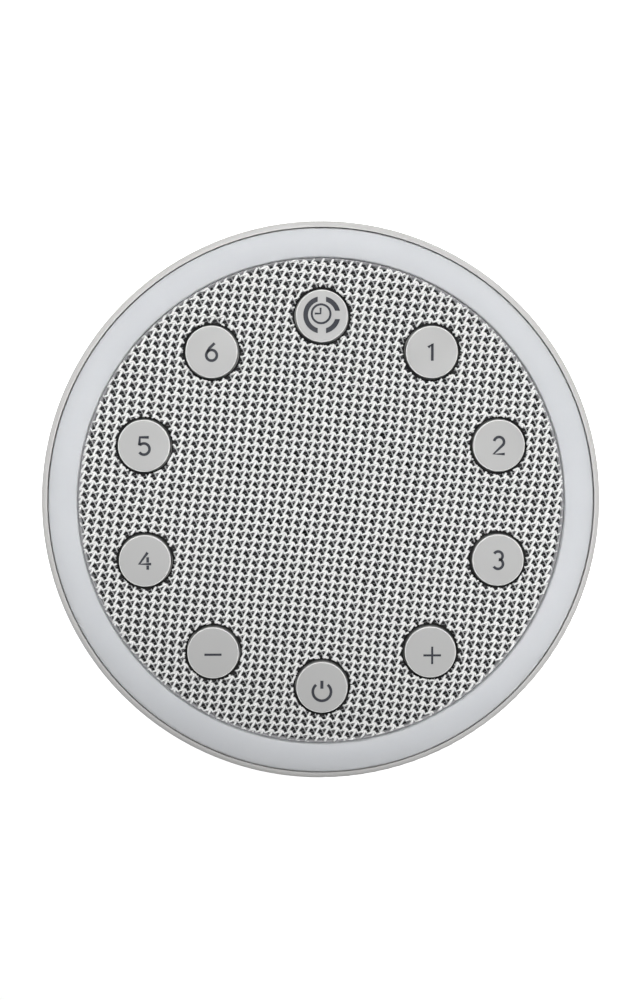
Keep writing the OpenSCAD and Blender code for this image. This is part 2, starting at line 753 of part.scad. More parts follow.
module frame_posts() {
    for (a = frame_post_angles) at(a, frame_post_circle_r, tray_floor_z)
        cylinder(r = frame_post_r, h = plate_under_z - tray_floor_z + eps);
    for (a = key_post_angles) at(a, key_post_circle_r, key_board_z)
        cylinder(r = frame_post_r, h = plate_under_z - key_board_z + eps);
    for (a = speaker_angles) at(a, speaker_screw_circle_r, basket_z)
        cylinder(r = speaker_post_r, h = plate_under_z - basket_z + eps);
}

module grille_frame() {
    color([0.09, 0.09, 0.10]) difference() {
        union() {
            rotate_extrude() difference() {
                frame_edge();
                span([-1, plate_z - frame_rim_h - 1], [frame_r - frame_rim_t, plate_under_z]);
            }
            button_guides();
            frame_posts();
            translate([0, 0, gasket_z])
                tube(flange_r, flange_r - gasket_w, plate_under_z - gasket_z + eps);
        }
        for (i = [0 : button_count - 1]) at(button_angle(i), button_circle_r) {
            translate([0, 0, guide_under_z]) cylinder(r = hole_r, h = total_h);
            translate([0, 0, guide_under_z - eps])
                cylinder(r = guide_in_r, h = collar_under_z - guide_under_z + eps);
            translate([-guide_out_r - 1, -key_w / 2 - key_gap, guide_under_z - eps])
                cube([2 * guide_out_r + 2, key_w + 2 * key_gap, collar_under_z - guide_under_z]);
        }
        for (ring = [0 : sound_hole_rings], k = [0 : max(6 * ring - 1, 0)])
            at(360 / max(6 * ring, 1) * k, sound_hole_pitch * ring, plate_under_z - eps)
                cylinder(r = sound_hole_r, h = plate_t + 2 * eps, $fn = 24);
        for (a = frame_post_angles) at(a, frame_post_circle_r, tray_floor_z - eps)
            cylinder(r = screw_r + screw_gap, h = screw_l);
        for (a = key_post_angles) at(a, key_post_circle_r, key_board_z - eps)
            cylinder(r = screw_r + screw_gap, h = screw_l);
        for (a = speaker_angles) at(a, speaker_screw_circle_r, basket_z - eps)
            cylinder(r = screw_r + screw_gap, h = screw_l);
    }
}

module frame_screws() {
    color([0.55, 0.56, 0.58]) for (a = frame_post_angles)
        at(a, frame_post_circle_r, tray_under_z) small_screw();
}

// ---------------------------------------------------------------- buttons and switches

// One cap: roof, skirt, flange with two keys, and the stem that presses the switch
module button_cap() {
    rotate_extrude() {
        span([0, cap_under_z], [button_r - button_edge_r, cap_top_z]);
        span([0, cap_under_z], [button_r, cap_top_z - button_edge_r]);
        translate([button_r - button_edge_r, cap_top_z - button_edge_r]) circle(r = button_edge_r);
        span([button_r - button_skirt_t, flange_under_z], [button_r, cap_under_z + eps]);
        span([button_r - button_skirt_t, flange_under_z], [button_flange_r, flange_top_z]);
        span([0, plunger_top_z], [stem_r, cap_under_z + eps]);
    }
    skirt_mid_r = button_r - button_skirt_t / 2;
    for (side = [0, 180]) rotate([0, 0, side]) translate([skirt_mid_r, -key_w / 2, flange_under_z])
        cube([guide_in_r + guide_t / 2 - skirt_mid_r, key_w, button_flange_t]);
}

module button(i) {
    color([0.78, 0.78, 0.77]) at(button_angle(i), button_circle_r) button_cap();
}

module plunger(i) {
    color([0.15, 0.15, 0.16]) at(button_angle(i), button_circle_r, switch_top_z - plunger_in)
        cylinder(r = plunger_r, h = plunger_in + plunger_proud);
}

module switch_bodies() {
    color([0.20, 0.20, 0.21]) for (i = [0 : button_count - 1])
        at(button_angle(i), button_circle_r) difference() {
            translate([-switch_w / 2, -switch_w / 2, key_board_z]) cube([switch_w, switch_w, switch_h]);
            translate([0, 0, switch_top_z - plunger_in - button_travel - press_gap])
                cylinder(r = plunger_r + plunger_gap, h = switch_h);
        }
}

module key_board() {
    color([0.10, 0.35, 0.20]) translate([0, 0, key_board_under_z]) difference() {
        tube(key_board_out_r, key_board_in_r, key_board_t);
        for (a = frame_post_angles) at(a, frame_post_circle_r, -eps)
            cylinder(r = frame_post_r + key_board_notch_gap, h = key_board_t + 2 * eps);
        for (a = key_post_angles) at(a, key_post_circle_r, -eps)
            cylinder(r = screw_r + pass_gap, h = key_board_t + 2 * eps);
    }
}

module key_board_screws() {
    color([0.55, 0.56, 0.58]) for (a = key_post_angles)
        at(a, key_post_circle_r, key_board_under_z) small_screw();
}

// ---------------------------------------------------------------- speaker

module basket_profile() {
    ledge_in = spider_r - spider_ledge_w;
    floor_z = basket_floor_under_z + basket_t;
    ledge_under_z = spider_z - basket_t;
    span([basket_wall_in_r, basket_z - basket_t], [flange_r, basket_z]);
    polygon([
        [basket_wall_in_r, basket_z], [spider_r, spider_z], [ledge_in, spider_z],
        [ledge_in, floor_z], [gap_r, floor_z], [gap_r, basket_floor_under_z],
        [ledge_in + basket_t, basket_floor_under_z], [ledge_in + basket_t, ledge_under_z],
        [spider_r + basket_t / 2, ledge_under_z], [basket_wall_in_r + basket_t, basket_z - basket_t],
        [basket_wall_in_r + basket_t, basket_z]
    ]);
}

module speaker_basket() {
    window_h = basket_z - basket_t - spider_z - 2 * window_edge;
    ear_root_r = flange_r - 2;
    color([0.42, 0.43, 0.45]) difference() {
        union() {
            rotate_extrude() basket_profile();
            for (a = speaker_angles) {
                at(a, ear_root_r, basket_z - basket_t) translate([0, -ear_r, 0])
                    cube([speaker_screw_circle_r - ear_root_r, 2 * ear_r, basket_t]);
                at(a, speaker_screw_circle_r, basket_z - basket_t) cylinder(r = ear_r, h = basket_t);
            }
        }
        for (a = speaker_angles) at(a, speaker_screw_circle_r, basket_z - basket_t - eps)
            cylinder(r = screw_r + pass_gap, h = basket_t + 2 * eps);
        for (a = [0, 90, 180, 270]) at(a, spider_r - basket_t / 2, spider_z + window_edge)
            translate([0, -window_w / 2, 0]) cube([flange_r, window_w, window_h]);
    }
}

module speaker_gasket() {
    color([0.12, 0.12, 0.12]) translate([0, 0, lip_z]) tube(flange_r, flange_r - gasket_w, gasket_t);
}

// Half roll with a lip on each side, the inner one on the cone's edge
module speaker_surround() {
    roll_c = [roll_out_r - roll_r, lip_z - surround_t];
    color([0.10, 0.10, 0.11]) rotate_extrude() {
        intersection() {
            difference() {
                translate(roll_c) circle(r = roll_r);
                translate(roll_c) circle(r = roll_r - surround_t);
            }
            span([roll_c.x - roll_r - 1, lip_z - surround_t], [roll_c.x + roll_r + 1, lip_z + roll_r]);
        }
        span([cone_edge_r - lip_w, lip_z - surround_t], [cone_edge_r, lip_z]);
        span([roll_out_r - surround_t, lip_z - surround_t], [roll_out_r + lip_w, lip_z]);
    }
}

// Straight-sided paper cone with a seat for the dust cap and a flat edge
module speaker_cone() {
    lip_in_r = cone_edge_r - lip_w;
    color([0.16, 0.16, 0.17]) rotate_extrude() polygon([
        [former_r, cone_neck_z], [former_r, dust_seat_z], [dust_cap_r + 0.1, dust_seat_z],
        [lip_in_r, cone_edge_z], [cone_edge_r, cone_edge_z], [cone_edge_r, cone_edge_z - cone_t],
        [lip_in_r + cone_edge_slant, cone_edge_z - cone_t], [former_r + cone_neck_w, cone_neck_z]
    ]);
}

module dust_cap() {
    dome_r = (dust_cap_r * dust_cap_r + dust_cap_h * dust_cap_h) / (2 * dust_cap_h);
    dome_z = dust_seat_z + dust_cap_h - dome_r;
    color([0.13, 0.13, 0.14]) rotate_extrude() intersection() {
        difference() {
            translate([0, dome_z]) circle(r = dome_r);
            translate([0, dome_z]) circle(r = dome_r - dust_cap_t);
        }
        span([0, dust_seat_z], [dust_cap_r, dust_seat_z + dust_cap_h + 1]);
    }
}

module coil_former() {
    color([0.70, 0.55, 0.35]) translate([0, 0, former_under_z])
        tube(former_r, former_r - former_t, dust_seat_z - former_under_z - 0.1);
}

module voice_coil() {
    color([0.72, 0.42, 0.20]) translate([0, 0, former_under_z + 0.2])
        tube(winding_r, former_r, winding_h);
}

// Waved cloth between the coil former and the basket's ledge
module speaker_spider() {
    wave_in_r = former_r + spider_ledge_w / 3;
    wave_out_r = spider_r - spider_ledge_w;
    half_wave = (wave_out_r - wave_in_r) / spider_waves;
    steps = 8 * spider_waves;
    line = concat(
        [[former_r, 0]],
        [for (k = [0 : steps])
            let (x = k / steps * (wave_out_r - wave_in_r))
                [wave_in_r + x, -spider_wave_h * sin(180 * x / half_wave)]],
        [[spider_r, 0]]
    );
    top = [for (p = line) [p.x, spider_z + spider_t + p.y]];
    under = [for (k = [len(line) - 1 : -1 : 0]) [line[k].x, spider_z + line[k].y]];
    color([0.75, 0.62, 0.30]) rotate_extrude() polygon(concat(top, under));
}

module front_plate() {
    color([0.60, 0.61, 0.63]) translate([0, 0, front_plate_under_z]) tube(steel_r, gap_r, front_plate_t);
}

module ring_magnet() {
    color([0.22, 0.22, 0.23]) translate([0, 0, magnet_under_z]) tube(magnet_r, magnet_in_r, magnet_t);
}

// Back plate and pole in one turned piece
module pole_plate() {
    color([0.60, 0.61, 0.63]) rotate_extrude() {
        span([0, pole_under_z], [steel_r, magnet_under_z]);
        span([0, pole_under_z], [pole_r, basket_floor_under_z]);
    }
}

// Solder strip under the front of the flange, with one tag for each lead
module speaker_terminals() {
    tag_z = terminal_z - terminal_strip.z - tag.z;
    color([0.55, 0.40, 0.22]) translate([0, terminal_y, terminal_z - terminal_strip.z / 2])
        cube(terminal_strip, center = true);
    color([0.80, 0.78, 0.70]) for (x = [-tag_x, tag_x])
        translate([x, terminal_y, tag_z + tag.z / 2]) cube(tag, center = true);
}

module speaker_screws() {
    color([0.55, 0.56, 0.58]) for (a = speaker_angles)
        at(a, speaker_screw_circle_r, basket_z - basket_t) small_screw();
}

// ---------------------------------------------------------------- main board

module main_board() {
    color([0.10, 0.35, 0.20]) translate([0, 0, board_under_z]) difference() {
        linear_extrude(board_t) {
            span([-board_half_w, -board_front], [board_half_w, board_rear]);
            span([-board_tongue_half_w, board_rear - eps], [board_tongue_half_w, board_tongue_y]);
        }
        for (x = [-1, 1] * board_screw_x, y = board_screw_ys)
            translate([x, y, -eps]) cylinder(r = screw_r + pass_gap, h = board_t + 2 * eps);
    }
}

module main_board_screws() {
    color([0.55, 0.56, 0.58]) for (x = [-1, 1] * board_screw_x, y = board_screw_ys)
        translate([x, y, board_z]) rotate([180, 0, 0])
            screw(screw_r, screw_l - 0.2, screw_head_r, screw_head_h);
}

// A flat chip with a row of legs on two sides
module chip(w, l, legs) {
    leg_l = 2 * chip_leg_w;
    translate([-w / 2, -l / 2, chip_leg_w / 4]) cube([w, l, chip_h]);
    for (side = [-1, 1], k = [0 : legs - 1])
        translate([side * (w + leg_l) / 2 - chip_leg_w, (k + 0.5) * l / legs - (l + chip_leg_w) / 2, 0])
            cube([leg_l, chip_leg_w, chip_h / 2]);
}

module control_chips() {
    color([0.08, 0.08, 0.09]) translate([0, 0, board_z]) {
        translate(board_grid * [-6, 10]) chip(main_chip_w, main_chip_l, 8);
        for (p = board_grid * [[9, 8], [8, -8]]) translate(p) chip(small_chip_w, small_chip_l, 4);
    }
}

module capacitors() {
    color([0.20, 0.22, 0.35]) for (p = board_grid * [[0, 22], [10, 22], [-9, -6]])
        translate([p.x, p.y, board_z]) cylinder(r = capacitor_r, h = capacitor_h);
}

module board_headers() {
    ribbon_header_l = ribbon_w + 2 * ribbon_header_end;
    color([0.90, 0.88, 0.80]) {
        for (p = [speaker_header, led_header])
            translate([p.x - header_w / 2, p.y - header_d / 2, board_z])
                cube([header_w, header_d, header_h]);
        translate([ribbon_header_x - ribbon_header_d, -ribbon_header_l / 2, board_z])
            cube([ribbon_header_d, ribbon_header_l, ribbon_header_h]);
        translate([ribbon_end_x, -ribbon_header_l / 2, key_board_under_z - ribbon_header_h])
            cube([ribbon_header_d, ribbon_header_l, ribbon_header_h]);
    }
}

// Shell of the socket, open towards the rear, and its tongue
module usb_socket() {
    color([0.75, 0.76, 0.78]) translate([0, usb_mouth_y, usb_z]) rotate([90, 0, 0]) {
        difference() {
            linear_extrude(usb_l) stadium(usb_w, usb_h);
            translate([0, 0, -eps]) linear_extrude(usb_l - usb_back_t + eps)
                stadium(usb_w - 2 * usb_t, usb_h - 2 * usb_t);
        }
        translate([-usb_tongue_w / 2, -usb_tongue_t / 2, usb_tongue_inset])
            cube([usb_tongue_w, usb_tongue_t, usb_l - usb_back_t - usb_tongue_inset + eps]);
    }
}

// ---------------------------------------------------------------- leads

// Smooth curve through hand-placed points
function knot(p, i) = p[min(max(i, 0), len(p) - 1)];
function curve_at(p, i, t) = 0.5 * (
    2 * knot(p, i)
    + (knot(p, i + 1) - knot(p, i - 1)) * t
    + (2 * knot(p, i - 1) - 5 * knot(p, i) + 4 * knot(p, i + 1) - knot(p, i + 2)) * t * t
    + (3 * knot(p, i) - knot(p, i - 1) - 3 * knot(p, i + 1) + knot(p, i + 2)) * t * t * t);
function smooth(p, steps) = concat(
    [for (i = [0 : len(p) - 2], k = [0 : steps - 1]) curve_at(p, i, k / steps)],
    [p[len(p) - 1]]);
function unit(v) = v / norm(v);
function heading(p, i) = unit(knot(p, i + 1) - knot(p, i - 1));

// Round lead swept along its points, with flat ends
module lead(points, d, steps = 5, sides = 8) {
    p = smooth(points, steps);
    n = len(p);
    rings = [for (i = [0 : n - 1])
        let (t = heading(p, i), u = unit(cross(t, [0.31, 0.95, 0.05])), v = cross(t, u))
            for (k = [0 : sides - 1]) p[i] + d / 2 * (cos(360 / sides * k) * u + sin(360 / sides * k) * v)];
    walls = [for (i = [0 : n - 2], k = [0 : sides - 1], half = [0, 1])
        let (a = i * sides + k, b = i * sides + (k + 1) % sides)
            half == 0 ? [a, a + sides, b + sides] : [a, b + sides, b]];
    ends = [
        [for (k = [0 : sides - 1]) k],
        [for (k = [sides - 1 : -1 : 0]) (n - 1) * sides + k]
    ];
    polyhedron(rings, concat(walls, ends));
}

// Two leads from the speaker's tags down to the main board
module speaker_leads() {
    tag_z = terminal_z - terminal_strip.z - tag.z;
    top = board_z + header_h;
    color([0.70, 0.10, 0.10]) for (side = [-1, 1]) lead([
        [tag_x * side, terminal_y - 0.3, tag_z],
        [tag_x * side, terminal_y - 0.4, tag_z - 3],
        [2.6 * side, terminal_y - 2, tag_z - 9],
        [1.5 * side - 1.5, terminal_y - 3, (tag_z + top) / 2],
        [speaker_header.x + 1.2 * side, terminal_y + 1, top + 7],
        [speaker_header.x + 1.2 * side, speaker_header.y - 1, top + 2.5],
        [speaker_header.x + 1.2 * side, speaker_header.y, top]
    ], lead_d);
}

// Two leads from the light board, through the tray and past the ledge, to the main board
module led_leads() {
    top = board_z + header_h;
    ray = [cos(lead_angle), sin(lead_angle)];
    across = [-ray.y, ray.x];
    color([0.12, 0.12, 0.12]) for (side = [-1, 1]) {
        start = led_lead_r * ray + 0.7 * side * across;
        lead([
            [start.x, start.y, tray_floor_z],
            [start.x, start.y, ledge_z],
            [start.x - 1, start.y + 1, ledge_z - 8],
            [start.x - 3, start.y + 4, board_z + 14],
            [led_header.x + 6 + side, led_header.y - 6, top + 5],
            [led_header.x + 1 + 0.8 * side, led_header.y - 1, top + 3],
            [led_header.x + side, led_header.y, top]
        ], lead_d);
    }
}

// Fine leads from the strip through the basket's front window to the cone's underside
module tinsel_leads() {
    neck_r = former_r + cone_neck_w;
    rim_r = cone_edge_r - lip_w + cone_edge_slant;
    end_r = (neck_r + rim_r) / 2 + 1.5;
    end_z = cone_neck_z + (cone_edge_z - cone_t - cone_neck_z) * (end_r - neck_r) / (rim_r - neck_r);
    strip_edge_y = terminal_y + terminal_strip.y / 2;
    color([0.75, 0.55, 0.30]) for (side = [-1, 1]) lead([
        [1.6 * side, strip_edge_y, terminal_z - 0.7],
        [1.6 * side, strip_edge_y + 0.9, terminal_z - 1.5],
        [1.6 * side, strip_edge_y + 3.1, terminal_z - 2.4],
        [1.5 * side, strip_edge_y + 5.6, terminal_z - 2.5],
        [1.5 * side, -end_r - 1, end_z - 1.2],
        [1.5 * side, -end_r, end_z - 0.3]
    ], lead_d / 2, 3, 6);
}

// Flat ribbon: down from the key board, round one bend and into its header
module key_ribbon() {
    low_z = board_z + ribbon_header_h / 2;
    high_z = key_board_under_z - ribbon_header_h / 2;
    bend_c = [key_ribbon_x - ribbon_bend_r, low_z + ribbon_bend_r];
    color([0.92, 0.92, 0.90]) rotate([90, 0, 0]) translate([0, 0, -ribbon_w / 2])
        linear_extrude(ribbon_w) {
            span([key_ribbon_x, bend_c.y], [key_ribbon_x + ribbon_t, high_z]);
            span([ribbon_header_x, low_z - ribbon_t], [bend_c.x, low_z]);
            span([key_ribbon_x, high_z - ribbon_t], [ribbon_end_x, high_z]);
            intersection() {
                translate(bend_c) difference() {
                    circle(r = ribbon_bend_r + ribbon_t);
                    circle(r = ribbon_bend_r);
                }
                span([bend_c.x, low_z - ribbon_t], [key_ribbon_x + ribbon_t, bend_c.y]);
            }
        }
}

outer_housing();
base_cover();
foot_ring();
base_screws();
diffuser_ring();
light_tray();
led_board();
led_chips();
tray_screws();
speaker_cloth();
grille_frame();
frame_screws();
key_board();
switch_bodies();
key_board_screws();
key_ribbon();
speaker_basket();
speaker_gasket();
speaker_surround();
speaker_spider();
front_plate();
ring_magnet();
pole_plate();
speaker_terminals();
speaker_screws();
speaker_cone();
dust_cap();
coil_former();
voice_coil();
tinsel_leads();
main_board();
main_board_screws();
control_chips();
capacitors();
board_headers();
usb_socket();
speaker_leads();
led_leads();
for (i = [0 : button_count - 1]) {
    button(i);
    plunger(i);
}
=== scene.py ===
# %% [markdown]
# # A white noise sound machine
# The real object is a cup of light grey plastic, 110 mm across, with a translucent light ring let into its
# rim, a disc of open-knit speaker cloth, and ten push buttons on one circle. Its solids and joints come
# ready made, so this lesson loads them first and leaves them where they are. It then adds the stage, the
# finishes, and the pieces that solids can't show: the knitted yarn and the printed symbols.

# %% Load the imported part
import json
import math

import bpy
import numpy as np
from mathutils import Matrix, Vector


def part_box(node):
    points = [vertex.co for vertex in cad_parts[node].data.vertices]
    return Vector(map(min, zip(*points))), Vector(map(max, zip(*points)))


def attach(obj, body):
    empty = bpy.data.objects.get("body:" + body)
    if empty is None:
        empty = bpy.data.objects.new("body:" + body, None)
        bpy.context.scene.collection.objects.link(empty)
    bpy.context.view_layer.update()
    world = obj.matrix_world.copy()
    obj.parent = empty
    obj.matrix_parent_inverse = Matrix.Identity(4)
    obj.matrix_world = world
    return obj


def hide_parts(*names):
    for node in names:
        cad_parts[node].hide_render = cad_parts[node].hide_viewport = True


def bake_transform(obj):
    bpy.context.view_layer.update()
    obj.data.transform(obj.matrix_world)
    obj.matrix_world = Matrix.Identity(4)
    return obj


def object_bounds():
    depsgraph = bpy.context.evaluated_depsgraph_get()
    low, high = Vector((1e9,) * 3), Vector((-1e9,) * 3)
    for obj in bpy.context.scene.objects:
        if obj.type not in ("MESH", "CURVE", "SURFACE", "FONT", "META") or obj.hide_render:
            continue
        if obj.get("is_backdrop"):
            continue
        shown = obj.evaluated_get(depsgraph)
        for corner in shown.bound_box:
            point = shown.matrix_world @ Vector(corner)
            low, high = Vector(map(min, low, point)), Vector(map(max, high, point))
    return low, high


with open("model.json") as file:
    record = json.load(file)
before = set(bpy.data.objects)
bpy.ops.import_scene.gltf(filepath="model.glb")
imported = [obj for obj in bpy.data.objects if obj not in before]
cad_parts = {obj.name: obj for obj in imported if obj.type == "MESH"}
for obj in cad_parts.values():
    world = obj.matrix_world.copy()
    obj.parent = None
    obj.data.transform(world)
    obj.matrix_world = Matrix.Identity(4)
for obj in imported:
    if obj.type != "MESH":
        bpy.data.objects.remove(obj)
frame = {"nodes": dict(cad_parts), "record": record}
solid_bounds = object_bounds()
mm = 0.001

# %% [markdown]
# ## The camera
# The picture was taken from almost straight above, a little to the rear, because the ring's far side shows
# a hair wider than its near side. A camera could be turned by Euler angles, but a view that is nearly
# straight down makes those hard to read. Here the direction back to the camera is written as a vector, and
# the camera's three axes are worked out from it, so each number has a plain meaning.

# %% Place the camera
aim = Vector((-0.16, 0.59, 51.0)) * mm
camera_distance = 300 * mm
lean_right, lean_back = math.radians(-1.28), math.radians(4.01)
back = Vector((math.sin(lean_right), math.sin(lean_back), 0))
back.z = math.sqrt(1 - back.length_squared)
right = Vector((0, 1, 0)).cross(back).normalized()
upward = back.cross(right)

lens = bpy.data.cameras.new("top_camera")
lens.sensor_width = 36
lens.lens = 54.9
lens.clip_start, lens.clip_end = 0.01, 50
camera = bpy.data.objects.new("top_camera", lens)
bpy.context.scene.collection.objects.link(camera)
turned = Matrix((right, upward, back)).transposed().to_4x4()
camera.matrix_world = Matrix.Translation(aim + camera_distance * back) @ turned
bpy.context.scene.camera = camera
print("camera at", [round(c / mm, 1) for c in camera.matrix_world.translation], "mm")

# %% [markdown]
# ## Small helpers for nodes
# Every finish below is a tree of shader nodes. Made by hand in the editor, each node is dropped, set and
# wired. In code that is three lines a node, so these helpers take a node's settings and its sockets in one
# call. A socket given as another node's output is wired, and anything else is typed in.

# %% Helpers that add one node each
def put(tree, kind, sockets=None, **settings):
    """Adds a node, with its settings, and sets or wires its input sockets."""
    made = tree.nodes.new(kind)
    for name, value in settings.items():
        setattr(made, name, value)
    for name, value in (sockets or {}).items():
        if isinstance(value, bpy.types.NodeSocket):
            tree.links.new(value, made.inputs[name])
        else:
            made.inputs[name].default_value = value
    return made


def sums(tree, what, *values):
    """A Math node: what is ADD, MULTIPLY and so on."""
    return put(tree, "ShaderNodeMath", dict(enumerate(values)), operation=what).outputs[0]


def product(tree, first, second):
    """One value times another."""
    return sums(tree, "MULTIPLY", first, second)


def weighed(tree, first, share, second):
    """The sum of two values, the first with this share and the second with the rest."""
    return sums(tree, "ADD", product(tree, first, share), product(tree, second, 1 - share))


def spread(tree, value, low, high, to_low=0.0, to_high=1.0):
    """Maps low to high of a value onto another range, and clamps it."""
    return put(tree, "ShaderNodeMapRange", {"Value": value, "From Min": low, "From Max": high,
                                            "To Min": to_low, "To Max": to_high}).outputs["Result"]


def tint(tree, share, first, second):
    """Mixes two colours by a share of the second."""
    made = put(tree, "ShaderNodeMix", data_type="RGBA")
    for socket, value in zip((made.inputs[0], made.inputs[6], made.inputs[7]), (share, first, second)):
        if isinstance(value, bpy.types.NodeSocket):
            tree.links.new(value, socket)
        else:
            socket.default_value = value if isinstance(value, float) else (*value, 1.0)
    return made.outputs[2]


def spot(tree):
    """The place on the object, in metres: textures that use it stay put when a body moves."""
    return put(tree, "ShaderNodeTexCoord").outputs["Object"]


def noise(tree, place, scale, detail, distortion=0.0):
    """Noise from 0 to 1, with scale bumps to the metre."""
    return put(tree, "ShaderNodeTexNoise", {"Vector": place, "Scale": scale, "Detail": detail,
                                            "Distortion": distortion}).outputs[0]


def new_group(title, takes, gives):
    """A shader node group with named sockets, and its two end nodes."""
    group = bpy.data.node_groups.new(title, "ShaderNodeTree")
    for name, default in takes.items():
        socket = group.interface.new_socket(name=name, in_out="INPUT", socket_type="NodeSocketFloat")
        socket.default_value = default
    for name in gives:
        group.interface.new_socket(name=name, in_out="OUTPUT", socket_type="NodeSocketFloat")
    return group, group.nodes.new("NodeGroupInput").outputs, group.nodes.new("NodeGroupOutput").inputs


def place_group(tree, group, **values):
    """Puts a group in a material, with this material's own values."""
    made = put(tree, "ShaderNodeGroup", node_tree=group)
    for name, value in values.items():
        made.inputs[name.replace("_", " ")].default_value = value
    return made.outputs


# %% [markdown]
# ## The stage
# The picture's ground is plain white with no horizon. A white sheet could be lit until it clips, but that
# light would wash out the object too. So the floor is a pale sheet at a plain light level, and only what the
# camera, a mirror or a glass sees of it gets an extra glow that lifts it to white. The object's shadow still
# falls on the sheet, because the glow is added to the lit colour and doesn't replace it. Seen from below,
# the sheet is clear, so that the underside can be looked at.

# %% Lay the floor
floor_half = 12.0
floor_gap = 0.02 * mm   # keeps the sheet and the foot's flat face from lying in one plane
floor_mesh = bpy.data.meshes.new("floor")
corners = ((-1, -1), (1, -1), (1, 1), (-1, 1))
floor_mesh.from_pydata([(x * floor_half, y * floor_half, -floor_gap) for x, y in corners], [], [(0, 1, 2, 3)])
floor = bpy.data.objects.new("floor", floor_mesh)
bpy.context.scene.collection.objects.link(floor)
floor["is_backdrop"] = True

floor_paint = bpy.data.materials.new("white_floor")
floor_paint.use_nodes = True
tree = floor_paint.node_tree
tree.nodes.clear()


def seen_plainly(tree):
    """1 for rays from the camera, a mirror or through glass, 0 for light on its way round the scene."""
    path = put(tree, "ShaderNodeLightPath").outputs
    return sums(tree, "MAXIMUM", sums(tree, "MAXIMUM", path["Is Camera Ray"], path["Is Glossy Ray"]),
                path["Is Transmission Ray"])


lift_to_white = 0.78
speckle = put(tree, "ShaderNodeTexNoise", {"Scale": 60.0, "Detail": 4.0}).outputs[0]
sheet_colour = tint(tree, spread(tree, speckle, 0.3, 0.7), (0.80, 0.80, 0.80), (0.84, 0.84, 0.84))
lit = put(tree, "ShaderNodeBsdfDiffuse", {"Color": sheet_colour}).outputs[0]
extra = product(tree, seen_plainly(tree), lift_to_white)
glow = put(tree, "ShaderNodeEmission", {"Strength": extra}).outputs[0]
paper = put(tree, "ShaderNodeAddShader", {0: lit, 1: glow}).outputs[0]
clear = put(tree, "ShaderNodeBsdfTransparent").outputs[0]
under = put(tree, "ShaderNodeNewGeometry").outputs["Backfacing"]
both = put(tree, "ShaderNodeMixShader", {0: under, 1: paper, 2: clear}).outputs[0]
put(tree, "ShaderNodeOutputMaterial", {"Surface": both})
floor_mesh.materials.append(floor_paint)
print("floor", 2 * floor_half, "m wide")

# %% [markdown]
# ## The light
# The top is evenly bright over its rear half and falls off softly towards the front, and the round shoulder
# tells that the light comes from nearly straight above. That is one wide soft box overhead, a little to the
# rear, with a grid on it that keeps its light from spreading, and pale surroundings that fill. A sky picture
# could give both, but it would hide where the light comes from. So the world is a plain grey that fills,
# darker towards the front, where the rim's shoulder is darkest, and an area lamp with a narrow spread gives
# the fall from rear to front.

# %% Fill light and soft box
fill_strength, front_share = 0.32, 0.12
world = bpy.data.worlds.new("even_fill")
bpy.context.scene.world = world
world.use_nodes = True
tree = world.node_tree
tree.nodes.clear()
way = put(tree, "ShaderNodeSeparateXYZ", {0: put(tree, "ShaderNodeTexCoord").outputs["Generated"]}).outputs
fill = spread(tree, way[1], -1.0, 0.0, fill_strength * front_share, fill_strength)
level = sums(tree, "MAXIMUM", seen_plainly(tree), fill)
put(tree, "ShaderNodeOutputWorld",
    {"Surface": put(tree, "ShaderNodeBackground", {"Color": (1, 1, 1, 1), "Strength": level}).outputs[0]})


def soft_box(title, place, aimed_at, size, spread_angle, watts):
    """A rectangular lamp whose grid keeps its light within an angle."""
    lamp = bpy.data.lights.new(title, "AREA")
    lamp.shape, lamp.size, lamp.size_y = "RECTANGLE", size[0], size[1]
    lamp.energy, lamp.spread = watts, spread_angle
    held = bpy.data.objects.new(title, lamp)
    bpy.context.scene.collection.objects.link(held)
    held.location = place
    held.rotation_mode = "QUATERNION"
    held.rotation_quaternion = (Vector(place) - Vector(aimed_at)).to_track_quat("Z", "Y")
    return held


overhead = soft_box("overhead_soft_box", place=(-0.02, 0.237, 0.451), aimed_at=(-0.04, 0.161, 0.05),
                    size=(0.71, 0.41), spread_angle=0.332, watts=0.735)
bpy.context.scene.view_settings.view_transform = "Standard"
print("fill", fill_strength, "lamp", overhead.data.energy, "W")

# %% [markdown]
# ## Effects that several finishes share
# Moulded plastic has a fine even grain from the mould, and its gloss wanders a little where it has been
# handled. Pressed and turned metal has fine lines. These effects could be painted by hand, but then they
# would fit one size only. As node groups they are built once, and each material sets their scale. A group
# puts out masks and heights only, and the shader stays in the material.

# %% Group: the grain of moulded plastic
grain_group, takes, gives = new_group("moulded_grain", {"Grain": 3000.0}, ("Tone", "Gloss", "Height"))
tree = grain_group
place = spot(tree)
slow = noise(tree, place, 45.0, 3.0)
patch = noise(tree, place, 160.0, 4.0)
fine = noise(tree, place, takes["Grain"], 2.0)
cells = put(tree, "ShaderNodeTexVoronoi", {"Vector": place, "Scale": takes["Grain"]}, feature="SMOOTH_F1")
pits = cells.outputs[0]
tone = weighed(tree, spread(tree, slow, 0.3, 0.7), 0.7, spread(tree, fine, 0.3, 0.7))
tree.links.new(tone, gives["Tone"])
tree.links.new(spread(tree, patch, 0.35, 0.7), gives["Gloss"])
tree.links.new(weighed(tree, pits, 0.6, fine), gives["Height"])
print("group", grain_group.name, "with", len(grain_group.nodes), "nodes")

